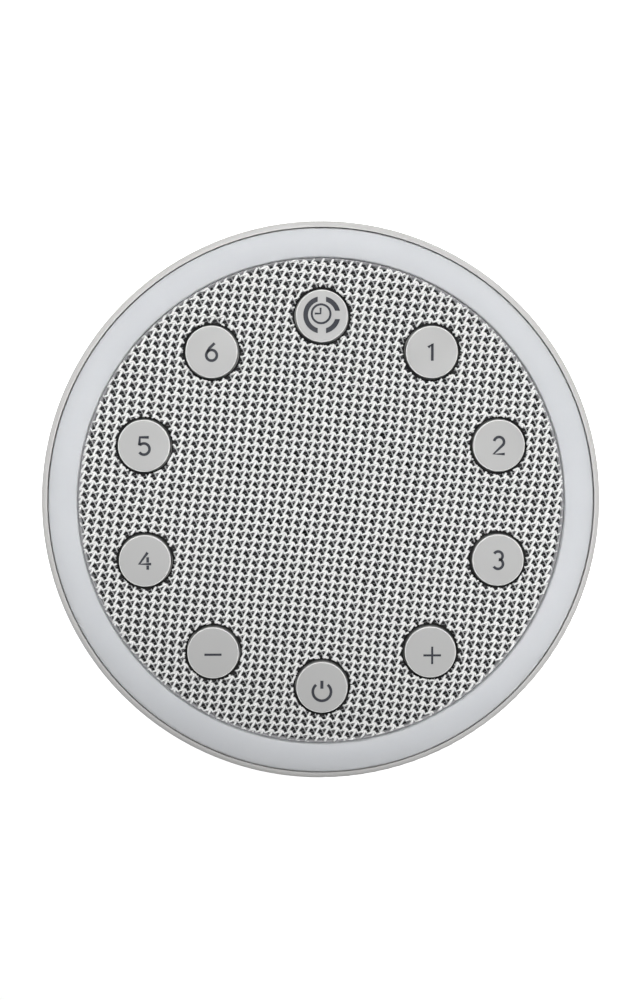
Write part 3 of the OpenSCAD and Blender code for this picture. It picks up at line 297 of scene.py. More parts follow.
# %% Group: wear where edges are rubbed
# A bevel node gives the normal that a rounded edge would have. Where it leans from the true one, there is an
# edge, and noise breaks the mask up as handling does.
rub_group, takes, gives = new_group("edge_rub", {"Reach": 0.0004, "Break up": 900.0}, ("Mask",))
tree = rub_group
rounded = put(tree, "ShaderNodeBevel", {"Radius": takes["Reach"]}, samples=4).outputs[0]
true_normal = put(tree, "ShaderNodeNewGeometry").outputs["Normal"]
both_normals = put(tree, "ShaderNodeVectorMath", {0: rounded, 1: true_normal}, operation="DOT_PRODUCT")
lean = sums(tree, "SUBTRACT", 1.0, both_normals.outputs["Value"])
broken = noise(tree, spot(tree), takes["Break up"], 3.0)
edge = spread(tree, lean, 0.01, 0.15)
tree.links.new(product(tree, edge, spread(tree, broken, 0.35, 0.65, 0.65, 1.0)), gives["Mask"])
print("group", rub_group.name, "with", len(rub_group.nodes), "nodes")

# %% Group: lines of drawn or turned metal
line_group, takes, gives = new_group("drawn_lines", {"Lines": 2500.0, "Stretch": 0.06}, ("Tone", "Height"))
tree = line_group
place = spot(tree)
x, y, z = put(tree, "ShaderNodeSeparateXYZ", {0: place}).outputs
drawn_out = put(tree, "ShaderNodeCombineXYZ", {0: product(tree, x, takes["Stretch"]), 1: y, 2: z}).outputs[0]
lines = noise(tree, drawn_out, takes["Lines"], 3.0)
cloud = noise(tree, place, 220.0, 3.0)
tone = weighed(tree, spread(tree, cloud, 0.3, 0.7), 0.55, spread(tree, lines, 0.3, 0.7))
tree.links.new(tone, gives["Tone"])
tree.links.new(lines, gives["Height"])
print("group", line_group.name, "with", len(line_group.nodes), "nodes")

# %% Group: fibres of cloth, paper and board
fibre_group, takes, gives = new_group("matted_fibres", {"Fibres": 1500.0}, ("Tone", "Height"))
tree = fibre_group
place = spot(tree)
felt = noise(tree, place, takes["Fibres"], 6.0, distortion=1.5)
blotch = noise(tree, place, 150.0, 3.0)
tone = weighed(tree, spread(tree, felt, 0.3, 0.7), 0.5, spread(tree, blotch, 0.3, 0.7))
tree.links.new(tone, gives["Tone"])
tree.links.new(felt, gives["Height"])
print("group", fibre_group.name, "with", len(fibre_group.nodes), "nodes")

# %% [markdown]
# ## Families of finish
# There are 26 finishes on the machine besides the ink, most of them inside. Each could be its own tree, but
# all save the yarn fall into three families: moulded plastic, metal and matted fibre. A family is a function
# that wires the groups above to one shader, so each finish is then one line of numbers. A value that is the
# same all over is typed into the shader's own socket, because an exporter keeps it only there.

# %% Family: start a material with one shader
finishes = {}


def surface(slot, **sockets):
    """A new material with one Principled shader, kept under its slot's name."""
    made = bpy.data.materials.new(slot)
    made.use_nodes = True
    made.node_tree.nodes.clear()
    typed_in = {name.replace("_", " "): value for name, value in sockets.items()}
    shader = put(made.node_tree, "ShaderNodeBsdfPrincipled", typed_in)
    put(made.node_tree, "ShaderNodeOutputMaterial", {"Surface": shader.outputs[0]})
    finishes[slot] = made
    return made.node_tree, shader


def relief(tree, shader, height, depth):
    """Bump from a height that runs from 0 to 1, depth metres deep."""
    bump = put(tree, "ShaderNodeBump", {"Strength": 1.0, "Distance": depth, "Height": height})
    tree.links.new(bump.outputs[0], shader.inputs["Normal"])


def skin_of(tree, shader, colour, gloss_mask, gloss):
    """Gives a shader its colour and a roughness that a mask moves from gloss[0] to gloss[1]."""
    tree.links.new(colour, shader.inputs["Base Color"])
    tree.links.new(spread(tree, gloss_mask, 0.0, 1.0, *gloss), shader.inputs["Roughness"])


# %% Where the caps are
# A mask needs the caps' places first, and the print and the cloth need them again further down.
keys = ("timer", "sound_1", "sound_2", "sound_3", "volume_up", "power", "volume_down", "sound_4", "sound_5",
        "sound_6")
caps = {}
for key in keys:
    low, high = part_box("button_" + key)
    caps[key] = ((low + high) / 2, high.z)
circle = [math.hypot(c.x, c.y) / mm for c, _ in caps.values()]
print("caps on a circle of", round(min(circle), 2), "to", round(max(circle), 2), "mm")

# %% Mask: painted shade in the wells round the caps
# The narrow gaps between the caps and the frame are the darkest places, deep in shade. A mask finds them by
# their distance from the nearest cap's middle, so that the frame can be painted blacker there: painted shade.
caps_reach = caps["timer"][0].y
caps_apart = 2 * math.pi / len(keys)
well_inner, well_outer = 5.65 * mm, 5.85 * mm


def well_shade_mask(tree):
    """1 in the deep gaps round the caps, where the frame gets painted shade, 0 elsewhere. The caps stand at
    even steps, one of them at the rear.
    """
    def length(a, b):
        return sums(tree, "SQRT", sums(tree, "ADD", product(tree, a, a), product(tree, b, b)))

    x, y, _ = put(tree, "ShaderNodeSeparateXYZ", {0: spot(tree)}).outputs
    turn = sums(tree, "SUBTRACT", sums(tree, "ARCTAN2", y, x), math.pi / 2)
    turn = sums(tree, "WRAP", turn, caps_apart / 2, -caps_apart / 2)
    reach = length(x, y)
    across = product(tree, reach, sums(tree, "SINE", turn))
    outward = sums(tree, "SUBTRACT", product(tree, reach, sums(tree, "COSINE", turn)), caps_reach)
    return spread(tree, length(across, outward), well_outer, well_inner)


# %% Family: moulded plastic and rubber
rubbed_paler, rubbed_smoother = 1.08, 0.08


def moulded(slot, pale, deep, gloss, grain=3000.0, depth=4e-6, rub=0.3, rubbed=None, rim_highlight=None, well_shade=None,
            **sockets):
    """Two near shades, a range of roughness, grain per metre, and edges rubbed towards a third shade.

    A painted highlight colours the rounded edge round a flat top, where the surface tilts, and painted
    shade colours the frame in the gaps round the caps."""
    tree, shader = surface(slot, **sockets)
    skin = place_group(tree, grain_group, Grain=grain)
    edge = place_group(tree, rub_group)["Mask"]
    plain = tint(tree, skin["Tone"], pale, deep)
    rubbed = rubbed or tuple(min(1.0, c * rubbed_paler) for c in pale)
    worn = tint(tree, product(tree, edge, rub), plain, rubbed)
    # The rounded edge round a flat top gets a paler colour: a painted highlight.
    if rim_highlight:
        normal = put(tree, "ShaderNodeTexCoord").outputs["Normal"]
        up = put(tree, "ShaderNodeSeparateXYZ", {0: normal}).outputs[2]
        rim_highlight_share = product(tree, spread(tree, up, 0.998, 0.96), spread(tree, up, 0.1, 0.5))
        worn = tint(tree, rim_highlight_share, worn, rim_highlight)
    # Round the caps the frame is painted blacker: painted shade in the deep gaps.
    if well_shade:
        worn = tint(tree, well_shade_mask(tree), worn, well_shade)
    tree.links.new(worn, shader.inputs["Base Color"])
    rough = spread(tree, skin["Gloss"], 0.0, 1.0, *gloss)
    smoother = sums(tree, "SUBTRACT", rough, product(tree, edge, rubbed_smoother))
    tree.links.new(smoother, shader.inputs["Roughness"])
    relief(tree, shader, skin["Height"], depth)


# %% Family: metal
def metal(slot, pale, deep, gloss, lines=2500.0, stretch=0.06, depth=1.5e-6, **sockets):
    """Plated, drawn or turned metal, brighter and smoother along its fine lines."""
    tree, shader = surface(slot, Metallic=1.0, **sockets)
    drawn = place_group(tree, line_group, Lines=lines, Stretch=stretch)
    edge = place_group(tree, rub_group)["Mask"]
    plain = tint(tree, drawn["Tone"], pale, deep)
    bright_edge = tint(tree, product(tree, edge, 0.5), plain, (0.80, 0.80, 0.80))
    skin_of(tree, shader, bright_edge, drawn["Tone"], gloss)
    relief(tree, shader, drawn["Height"], depth)


# %% Family: paper, cloth and board
def fibrous(slot, pale, deep, gloss, fibres=1500.0, depth=1.5e-5, **sockets):
    """Matted or woven fibre, stiffened or not."""
    tree, shader = surface(slot, **sockets)
    felt = place_group(tree, fibre_group, Fibres=fibres)
    skin_of(tree, shader, tint(tree, felt["Tone"], pale, deep), felt["Tone"], gloss)
    relief(tree, shader, felt["Height"], depth)


# %% [markdown]
# ## The finishes that show
# The casing and the caps are the same warm light grey with a satin skin, and each cap's rounded top edge is
# painted paler, a painted highlight. The light ring is a cooler, paler and slightly clouded plastic, so a
# little light goes into it and comes out beside where it went in. The frame behind the cloth is matt black,
# which is what makes the knit's holes look deep, and it is painted blacker still in the wells round the caps,
# as painted shade. The colours are in linear light, as the shader takes them.

# %% Casing, caps, ring, frame and foot
moulded("casing_plastic", (0.605, 0.600, 0.590), (0.580, 0.575, 0.566), (0.40, 0.50), grain=3200.0)
moulded("base_plastic", (0.475, 0.472, 0.462), (0.435, 0.432, 0.424), (0.50, 0.62), grain=2200.0, depth=9e-6)
# The caps' pale edge colour is a painted highlight on the rounded edge round each top.
moulded("button_plastic", (0.448, 0.448, 0.445), (0.430, 0.431, 0.429), (0.44, 0.54), grain=3800.0,
        depth=2.5e-6, rim_highlight=(0.80, 0.80, 0.79), Specular_IOR_Level=0.4)
moulded("light_plastic", (0.665, 0.680, 0.705), (0.650, 0.666, 0.692), (0.48, 0.58), grain=2600.0, depth=2e-6,
        rub=0.1, Subsurface_Weight=0.9, Subsurface_Scale=0.003, Subsurface_Radius=(1.0, 1.0, 1.0),
        Specular_IOR_Level=0.3)
# The frame's colour round the caps is painted shade in the deep gaps there.
moulded("frame_plastic", (0.022, 0.022, 0.023), (0.015, 0.015, 0.016), (0.62, 0.76), grain=2600.0, depth=8e-6,
        rub=0.1, well_shade=(0.004, 0.004, 0.004), Specular_IOR_Level=0.15)
moulded("foot_rubber", (0.052, 0.052, 0.055), (0.040, 0.040, 0.043), (0.72, 0.86), grain=1800.0, depth=1.4e-5,
        rub=0.25, rubbed=(0.10, 0.10, 0.10))
print(len(finishes), "finishes that show")

# %% [markdown]
# ## The finishes inside
# Nothing inside shows in the picture, so these follow what such parts are made of. They are seen where the
# model is opened, and each gets the same care for scale: glass-fibre board, sleeved cans, sintered ferrite,
# pulp paper, and so on.

# %% Plastics and rubbers inside
moulded("tray_plastic", (0.88, 0.88, 0.87), (0.84, 0.84, 0.83), (0.25, 0.36), grain=2600.0, depth=2e-6)
moulded("black_rubber", (0.020, 0.020, 0.021), (0.013, 0.013, 0.014), (0.62, 0.80), grain=2400.0,
        depth=1.2e-5, rub=0.1)
moulded("lead_skin", (0.115, 0.012, 0.012), (0.085, 0.008, 0.008), (0.45, 0.58), grain=4000.0, rub=0.1)
moulded("led_board_white", (0.82, 0.83, 0.82), (0.77, 0.78, 0.77), (0.28, 0.40), grain=1800.0, depth=3e-6)
moulded("led_body", (0.88, 0.74, 0.28), (0.84, 0.68, 0.22), (0.25, 0.35), grain=5000.0, depth=2e-6, rub=0.1)
moulded("chip_black", (0.016, 0.016, 0.018), (0.010, 0.010, 0.012), (0.50, 0.65), grain=5200.0, depth=3e-6,
        rub=0.2)
moulded("connector_plastic", (0.74, 0.69, 0.56), (0.70, 0.65, 0.52), (0.35, 0.48), grain=3800.0, depth=3e-6)
moulded("ribbon_film", (0.76, 0.76, 0.73), (0.71, 0.71, 0.68), (0.22, 0.34), grain=1500.0, rub=0.1)
moulded("ferrite", (0.040, 0.040, 0.042), (0.024, 0.024, 0.026), (0.48, 0.66), grain=2600.0, depth=8e-6,
        rubbed=(0.075, 0.073, 0.070))
moulded("speaker_steel", (0.110, 0.116, 0.125), (0.090, 0.095, 0.104), (0.40, 0.55), grain=1900.0, depth=6e-6,
        rub=0.5, rubbed=(0.24, 0.24, 0.24))
moulded("circuit_board", (0.010, 0.078, 0.030), (0.007, 0.056, 0.020), (0.22, 0.36), grain=1400.0, rub=0.5,
        rubbed=(0.35, 0.32, 0.18), Coat_Weight=0.4, Coat_Roughness=0.15)

# %% Metals, papers and cloths inside
metal("capacitor_can", (0.055, 0.068, 0.140), (0.040, 0.050, 0.110), (0.28, 0.42))
metal("socket_steel", (0.56, 0.57, 0.58), (0.44, 0.45, 0.47), (0.20, 0.36))
metal("screw_steel", (0.42, 0.42, 0.43), (0.30, 0.30, 0.31), (0.26, 0.44), lines=4000.0)
metal("plate_steel", (0.46, 0.46, 0.47), (0.34, 0.34, 0.36), (0.25, 0.42), lines=1800.0)
metal("copper", (0.75, 0.34, 0.14), (0.52, 0.20, 0.07), (0.22, 0.38), lines=6500.0, stretch=0.9, depth=6e-6,
      Coat_Weight=0.5, Coat_Roughness=0.2)
fibrous("cone_paper", (0.034, 0.034, 0.036), (0.018, 0.018, 0.019), (0.78, 0.92))
fibrous("spider_cloth", (0.52, 0.33, 0.075), (0.40, 0.24, 0.045), (0.55, 0.75), fibres=2600.0, depth=2.5e-5)
fibrous("former_paper", (0.40, 0.235, 0.10), (0.31, 0.175, 0.070), (0.60, 0.78), fibres=1900.0, depth=8e-6)
print(len(finishes), "finishes, all but the yarn and the ink")

# %% [markdown]
# ## Dressing the solids
# Each solid arrives with a plain material that is named after its slot in the record. A better material could
# be guessed from each piece's name, but the record already says which slot each piece has, so one loop over
# the record gives every solid its finish and none can be missed.

# %% Give every solid its finish
slot_of = {row["node"]: row["material_slot"] for row in frame["record"]["subparts"]}
dressed = {}
for node, slot in slot_of.items():
    if slot in finishes:
        materials = frame["nodes"][node].data.materials
        materials.clear()
        materials.append(finishes[slot])
        dressed.setdefault(slot, []).append(node)
print({slot: len(names) for slot, names in dressed.items()})

# %% [markdown]
# ## The parts that flex with the cone
# The rubber surround, the cloth spider and the two tinsel leads are held by the basket at one end and by the
# cone at the other, so they bend as the cone moves. Left as solids they would stay behind, and the cone would
# cut through them. Here a copy stands for each solid, in the same place, and the solid is hidden.

# %% Copy the leads, the surround and the spider
def flexing(node):
    """A copy of a solid in its own place, with the solid hidden."""
    copy = bpy.data.objects.new(node + "_flexing", frame["nodes"][node].data.copy())
    bpy.context.scene.collection.objects.link(copy)
    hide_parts(node)
    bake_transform(copy)
    return copy


def flexing_ring(node):
    """A copy of a ring, made as for any other solid."""
    copy = flexing(node)


low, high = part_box("tinsel_leads")
flexing("tinsel_leads")
flexing_ring("speaker_surround")
flexing_ring("speaker_spider")

# %% [markdown]
# ## The printed symbols
# The caps carry dark blue-grey print: a clock with arcs round it, a power sign, a plus and a minus, and on
# the other six the place where a sound is named. Plain numbers from 1 to 6 stand there instead. Print could
# be drawn in the cap's material, but then its edges would be as soft as the picture's grain and the caps
# would need ten materials. Real pad print is a film of ink a few hundredths of a millimetre thick, so each
# symbol is a flat ribbon of that thickness, and rides on its own key.

# %% The ink
tree, shader = surface("print_ink", Specular_IOR_Level=0.25)
skin = place_group(tree, grain_group, Grain=6000.0)
blue_black = tint(tree, skin["Tone"], (0.027, 0.029, 0.038), (0.019, 0.021, 0.030))
skin_of(tree, shader, blue_black, skin["Gloss"], (0.5, 0.65))
relief(tree, shader, skin["Height"], 2e-6)

# %% Helpers that lay ink
ink_film = 0.03 * mm
ink_lift = 0.002 * mm


def arc(centre, radius, start, end, steps=40):
    """Points on an arc, angles in degrees, anticlockwise from the right. Lengths are in millimetres."""
    turn = np.radians(np.linspace(start, end, steps))
    return np.c_[centre[0] + radius * np.cos(turn), centre[1] + radius * np.sin(turn)]


def ribbon(line, width, closed=False):
    """A stroke of ink along a line: its left side, its right side, and whether it is a closed ring."""
    line = np.asarray(line, float)
    if closed:
        step = np.roll(line, -1, 0) - np.roll(line, 1, 0)
    else:
        step = np.gradient(line, axis=0)
    side = np.c_[-step[:, 1], step[:, 0]] / np.hypot(*step.T)[:, None] * width / 2
    return line + side, line - side, closed


def lay_ink(key, ribbons):
    """One closed film of ink for each ribbon, on a key's cap."""
    centre, top = caps[key]
    points, faces = [], []
    for left, right_side, closed in ribbons:
        count = len(left)
        # where four rows of points start: bottom left, bottom right, top left and top right
        a, b, c, d = (len(points) + k * count for k in range(4))
        for height in (top + ink_lift, top + ink_film):
            for edge in (left, right_side):
                points += [(centre.x + x * mm, centre.y + y * mm, height) for x, y in edge]
        for i in range(count if closed else count - 1):
            j = (i + 1) % count
            faces += [(c + i, d + i, d + j, c + j), (a + i, a + j, b + j, b + i),
                      (a + i, c + i, c + j, a + j), (b + i, b + j, d + j, d + i)]
        if not closed:
            last = count - 1
            faces += [(a, b, d, c), (a + last, c + last, d + last, b + last)]
    mesh = bpy.data.meshes.new("print_" + key)
    mesh.from_pydata(points, [], faces)
    mesh.validate()
    mesh.materials.append(finishes["print_ink"])
    film = bpy.data.objects.new("print_" + key, mesh)
    bpy.context.scene.collection.objects.link(film)
    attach(film, "key_" + key)


# %% Clock, power, plus and minus
clock = (-0.16, 0.41)
band_middle, band_in, band_out, slit = (-0.01, 0.19), 2.68, 3.62, 1.60


def band(start, end):
    """A broad arc round the clock, its ends cut straight along the upright or the level slit beside it."""
    sides = []
    for radius in (band_out, band_in):
        level = math.degrees(math.asin(slit / 2 / radius))
        upright = 90 - level
        ends = {"up": upright, "up_left": 180 - upright, "down_left": 180 + upright, "down": -upright,
                "right_up": level, "right_down": -level}
        sides.append(arc(band_middle, radius, ends[start], ends[end]))
    return *sides, False


hands = np.array([(-1.24, 0.05), (-0.10, 0.05), (-0.10, 1.18)]) + clock
lay_ink("timer", [
    ribbon(arc(clock, 1.82, 0, 351), 0.42, closed=True), ribbon(hands, 0.40),
    band("up_left", "down_left"), band("right_up", "up"), band("down", "right_down")])
power = (0.0, -0.86)
lay_ink("power", [
    ribbon(arc(power, 1.80, 129, 411), 0.55),
    ribbon([(0, power[1] + 0.62), (0, power[1] + 2.22)], 0.62)])
lay_ink("volume_up", [
    ribbon([(-1.40, -0.65), (2.10, -0.65)], 0.42),
    ribbon([(0.35, 1.10), (0.35, -0.44)], 0.42),
    ribbon([(0.35, -0.86), (0.35, -2.40)], 0.42)])
lay_ink("volume_down", [ribbon([(-1.70, -0.35), (1.68, -0.35)], 0.45)])
print("symbols on 4 keys")

# %% Numbers 1 to 6 on the sound keys
stroke, number_size = 0.54, 1.48
numbers = {
    "1": [[(-0.50, 0.62), (0.05, 1.10), (0.05, -1.15)]],
    "2": [np.vstack([arc((0, 0.48), 0.66, 170, -35, 16), [(-0.72, -1.12), (0.78, -1.12)]])],
    "3": [np.vstack([arc((0, 0.56), 0.60, 150, -75, 16), arc((0, -0.52), 0.66, 75, -150, 18)])],
    "4": [[(0.38, 1.12), (-0.74, -0.42), (0.84, -0.42)],
          [(0.38, 0.50), (0.38, -0.22)],
          [(0.38, -0.62), (0.38, -1.16)]],
    "5": [np.vstack([[(0.66, 1.12), (-0.52, 1.12), (-0.60, 0.12)], arc((0, -0.42), 0.74, 130, -145, 20)])],
    "6": [np.vstack([[(0.42, 1.14), (-0.28, 0.48)], arc((0, -0.45), 0.70, 150, 505, 26)])],
}
for number, lines in numbers.items():
    lay_ink("sound_" + number, [ribbon(np.asarray(line) * number_size, stroke) for line in lines])
print("numbers on", len(numbers), "keys")

# %% [markdown]
# ## The speaker cloth
# The cloth is a warp knit of pale polyester yarn over the black frame. In the picture each stitch has a yarn
# that saws along the row, a thick bright yarn that leans down the column, and a thin one that crosses the
# hole deeper down. A weave could be a bump in a material, but the holes are as wide as the yarns and the
# frame shows through, so a bump would lie flat and bright. Here every yarn is a real tube. One stitch is
# written as a short list of points, in shares of the stitch's width and height, and repeated on a
# slanted lattice. Everything is laid out flat first, and a last step rolls the cloth over the frame's edge.

# %% The stitch and the lattice
row_step = np.array([1.824, -0.173])       # from one stitch to the next along the row, in millimetres
column_step = np.array([-0.192, -1.704])   # from one row to the next, towards the front
lattice_start = np.array([0.935, -1.33])   # the hole nearest the middle of the cloth
cloth_mid = 50.70                          # height of the cloth's middle surface
roll_start, roll_radius = 47.22, 0.35      # where the cloth starts to roll down, and how tightly
knit_end = 48.00                           # how far the knit goes, measured over the roll
hole_radius = 5.75                         # cut round each button
# Each point: share along the row, share down the column, height above the middle surface in millimetres.
row_yarn = [(0.072, -0.457, 0.00), (0.275, -0.560, 0.06), (0.487, -0.684, 0.12), (0.676, -0.799, 0.12),
            (0.783, -0.846, 0.10), (0.904, -0.763, 0.06), (0.997, -0.620, 0.01)]
column_yarn = [(0.863, -0.735, 0.00), (0.765, -0.490, 0.09), (0.650, -0.235, 0.13), (0.500, 0.130, 0.04),
               (0.455, 0.400, -0.13), (0.680, 0.470, -0.13)]
cross_yarn = [(0.150, -0.364, -0.15), (0.410, 0.129, -0.20)]
# The two yarns at the back, each with its half width in millimetres.
back_yarns = [([(-0.10, 0.13, -0.23), (0.30, -0.10, -0.23)], 0.045),
              ([(0.10, -0.36, -0.21), (0.52, -0.33, -0.21)], 0.075)]
print("stitch", round(float(np.hypot(*row_step)), 2), "by", round(float(np.hypot(*column_step)), 2), "mm")

# %% [markdown]
# Real knit is never quite even: it is pulled a little where it is glued, and drawn together beside each cut
# hole. Random numbers per stitch would tear the yarns apart, so the unevenness is a smooth field, a few slow
# sine waves, that moves neighbouring yarns together. It is the same on every run.

# %% Slow unevenness over the cloth
cap_spots = np.array([(c.x / mm, c.y / mm) for c, _ in caps.values()])
hole_push, push_fade = 0.22, 1.3   # how far stitches are pushed off a hole, and how fast that fades
# Each wave: how far it moves a point, its lengths in x and in y, all in millimetres, and where it starts.
waves_in_x = [(0.16, math.inf, 7.3, 0.6), (0.07, 3.1, 4.7, 0.0), (0.03, 0.9, 1.3, 2.0)]
waves_in_y = [(0.14, 8.9, math.inf, 1.9), (0.06, -5.2, 3.7, 0.0), (0.03, -1.1, 0.8, 1.0)]


def uneven(flat):
    """Moves flat points a little, smoothly, and away from the button holes."""
    x, y = flat[:, 0], flat[:, 1]
    moved = flat.copy()
    for axis, waves in enumerate((waves_in_x, waves_in_y)):
        moved[:, axis] += sum(size * np.sin(x / long_x + y / long_y + start)
                              for size, long_x, long_y, start in waves)
    for cap in cap_spots:
        away = moved - cap
        reach = np.maximum(np.hypot(*away.T), 0.5)
        push = hole_push * np.exp(-np.maximum(reach - hole_radius, 0) / push_fade)
        moved += away / reach[:, None] * push[:, None]
    return moved


def rolled(points):
    """Rolls the flat cloth (x, y, height) over the frame's edge, and gives metres."""
    reach = np.hypot(points[:, 0], points[:, 1])
    way = points[:, :2] / np.maximum(reach, 1e-6)[:, None]
    turn = np.clip((reach - roll_start) / roll_radius, 0, math.pi / 2)
    beyond = np.maximum(reach - roll_start - roll_radius * math.pi / 2, 0)
    arm = roll_radius + points[:, 2]
    radius = np.minimum(reach, roll_start) + arm * np.sin(turn)
    height = cloth_mid - roll_radius + arm * np.cos(turn) - beyond
    return np.c_[way * radius[:, None], height] * mm


# %% [markdown]
# A tube needs rings of points round a line. Curves with a bevel could do it, but thousands of curve points
# with their own thickness and cut ends are slow and hard to cut at a hole. So the rings are built
# directly: at each point of the line a flattened ring stands square to it. A yarn is cut into runs where it
# meets a button's hole or the end of the cloth, and each run is closed by a small point at both ends.

# %% Cut a yarn into runs
ragged, ragged_waves = 0.08, 7.0   # how uneven the cut round a cap is, and how often it goes in and out
shortest_step = 0.02               # a point nearer than this to the one before it is left out


def room(line, cut_noise):
    """How far each point is inside the cloth: below 0 it is past the end or in a button's hole."""
    left = knit_end - np.hypot(line[:, 0], line[:, 1])
    for n, cap in enumerate(cap_spots):
        away = line[:, :2] - cap
        turn = np.arctan2(away[:, 1], away[:, 0])
        hole = hole_radius + ragged * np.sin(ragged_waves * turn + n + cut_noise)
        left = np.minimum(left, np.hypot(*away.T) - hole)
    return left


def runs_of(line, cut_noise):
    """Cuts a yarn's line where it leaves the cloth, and gives the runs that stay, ended at the cut."""
    left = room(line, cut_noise)
    edges = np.flatnonzero(np.diff(np.r_[0, (left > 0).astype(int), 0]))
    runs = []
    for a, b in zip(edges[::2], edges[1::2]):
        run = line[a:b]
        if a > 0:
            share = left[a] / (left[a] - left[a - 1])
            run = np.vstack([line[a] + share * (line[a - 1] - line[a]), run])
        if b < len(line):
            share = left[b - 1] / (left[b - 1] - left[b])
            run = np.vstack([run, line[b - 1] + share * (line[b] - line[b - 1])])
        step = np.r_[1.0, np.hypot(*np.diff(run[:, :2], axis=0).T)]
        run = run[step > shortest_step]
        if len(run) >= 3:
            runs.append(run)
    return runs


# %% Turn a run into a tube
slub, slub_waves = 0.07, (2.1, 3.7)   # a yarn gets this share thicker and thinner, in waves over x and y


def tube(line, wide, deep, sides):
    """Rings of a flattened tube along a line, in flat cloth space, with pointed closed ends."""
    count = len(line)
    step = np.gradient(line, axis=0)
    step /= np.linalg.norm(step, axis=1)[:, None]
    across = np.c_[-step[:, 1], step[:, 0], np.zeros(count)]
    across /= np.maximum(np.linalg.norm(across, axis=1), 1e-6)[:, None]
    over = np.cross(step, across)
    turn = np.linspace(0, 2 * math.pi, sides, endpoint=False)
    swell = 1 + slub * np.sin(line[:, 0] * slub_waves[0] + line[:, 1] * slub_waves[1])
    ring = (np.cos(turn)[None, :, None] * across[:, None] * wide
            + np.sin(turn)[None, :, None] * over[:, None] * deep)
    body = (line[:, None] + ring * swell[:, None, None]).reshape(-1, 3)
    tip = wide * 0.5
    tips = np.array([line[0] - step[0] * tip, line[-1] + step[-1] * tip])
    i = np.arange(count - 1)[:, None] * sides
    k = np.arange(sides)[None, :]
    after = (k + 1) % sides
    quads = np.stack([i + k, i + after, i + sides + after, i + sides + k], -1).reshape(-1, 4)
    length = np.r_[0, np.cumsum(np.linalg.norm(np.diff(line, axis=0), axis=1))]
    full = (count - 1, sides)
    near, far = (np.broadcast_to(v[:, None], full) for v in (length[:-1], length[1:]))
    start, end = (np.broadcast_to(v, full) for v in (k / sides, (k + 1) / sides))
    uv = np.stack([np.stack([near, near, far, far], -1), np.stack([start, end, end, start], -1)], -1)
    last, top = (count - 1) * sides, count * sides
    fans = [(top, (s + 1) % sides, s) for s in range(sides)]
    fans += [(top + 1, last + s, last + (s + 1) % sides) for s in range(sides)]
    return np.vstack([body, tips]), quads, uv.reshape(-1, 4, 2), np.array(fans)


# %% Join tubes into one mesh
def knit_mesh(title, tubes, band_of_cloth=None):
    """One mesh of many tubes, with a UV map that runs along and round each yarn."""
    points, quads, fans, maps, first = [], [], [], [], 0
    for body, faces, uv, ends in tubes:
        points.append(body)
        quads.append(faces + first)
        maps.append(uv)
        fans.append(ends + first)
        first += len(body)
    points = rolled(np.vstack(points))
    quads, maps, fans = np.vstack(quads), np.vstack(maps), np.vstack(fans)
    if band_of_cloth is not None:
        body, faces = band_of_cloth
        quads = np.vstack([quads, faces + len(points)])
        maps = np.vstack([maps, np.zeros((len(faces), 4, 2))])
        points = np.vstack([points, body])
    mesh = bpy.data.meshes.new(title)
    mesh.vertices.add(len(points))
    mesh.vertices.foreach_set("co", points.astype(np.float32).ravel())
    loops = np.r_[quads.ravel(), fans.ravel()]
    mesh.loops.add(len(loops))
    mesh.loops.foreach_set("vertex_index", loops.astype(np.int32))
    starts = np.r_[np.arange(len(quads)) * 4, len(quads) * 4 + np.arange(len(fans)) * 3]
    mesh.polygons.add(len(starts))
    mesh.polygons.foreach_set("loop_start", starts.astype(np.int32))
    mesh.update(calc_edges=True)
    uv_map = mesh.uv_layers.new(name="yarn")
    every_uv = np.vstack([maps.reshape(-1, 2), np.zeros((fans.size, 2))])
    uv_map.data.foreach_set("uv", every_uv.astype(np.float32).ravel())
    mesh.shade_smooth()
    made = bpy.data.objects.new(title, mesh)
    bpy.context.scene.collection.objects.link(made)
    area = sum(p.area for p in mesh.polygons)
    triangles = len(quads) * 2 + len(fans)
    print(title, len(points), "points,", triangles, "triangles,", round(area * 1e6), "mm2 of skin")
    return made


# %% [markdown]
# A kind of yarn is now a stitch and two steps on the lattice: the one that leads along a yarn to its next
# stitch, and the one that leads to the yarn beside it. Each step counts stitches along the row and rows down
# the column. The row yarns go along the rows, the column yarns down the columns, and the thin yarn that
# crosses the holes goes slantwise, one stitch along and one row down at a time.

# %% Repeat a stitch over the cloth
lattice_reach = 33   # stitches each way from the start, enough to pass the cloth's edge
sunk_ends = 0.08     # how far a yarn's cut ends sink into the knit


def yarns(stitch, along, beside, wide, deep, sides, reach=lattice_reach, cut_step=0.7, sunk=sunk_ends):
    """All the yarns of one kind, as tubes of half width wide and half thickness deep."""
    stitch = np.array(stitch)
    cells = np.repeat(np.arange(-lattice_reach, lattice_reach + 1), len(stitch))
    base = np.tile(stitch, (2 * lattice_reach + 1, 1))
    made = []
    for j in range(-reach, reach + 1):
        u = base[:, 0] + cells * along[0] + j * beside[0]
        v = base[:, 1] + cells * along[1] + j * beside[1]
        flat = lattice_start + u[:, None] * row_step + v[:, None] * column_step
        for run in runs_of(np.c_[uneven(flat), base[:, 2]], cut_step * j):
            run[[0, -1], 2] -= sunk
            made.append(tube(run, wide, deep, sides))
    return made


# %% Knit the rows
one_along, one_down = (1, 0), (0, 1)
rows = knit_mesh("speaker_cloth_rows", yarns(row_yarn, one_along, one_down, 0.197, 0.205, 6))

# %% Knit the columns, with the hem
# The hem is the closed band under the roll and down the frame's side, where the cloth is pressed and glued.
# The hem lies deep and takes the yarn's finish, so it is painted grey with the same painted shade.
hem_steps = 240
hem_profile = [(47.32, 46.75), (47.58, 46.65), (47.66, 46.8), (47.66, 49.0), (47.88, 49.2), (47.90, 50.38),
               (47.80, 50.48), (47.62, 50.46), (47.45, 50.34), (47.30, 50.20)]   # radius and height


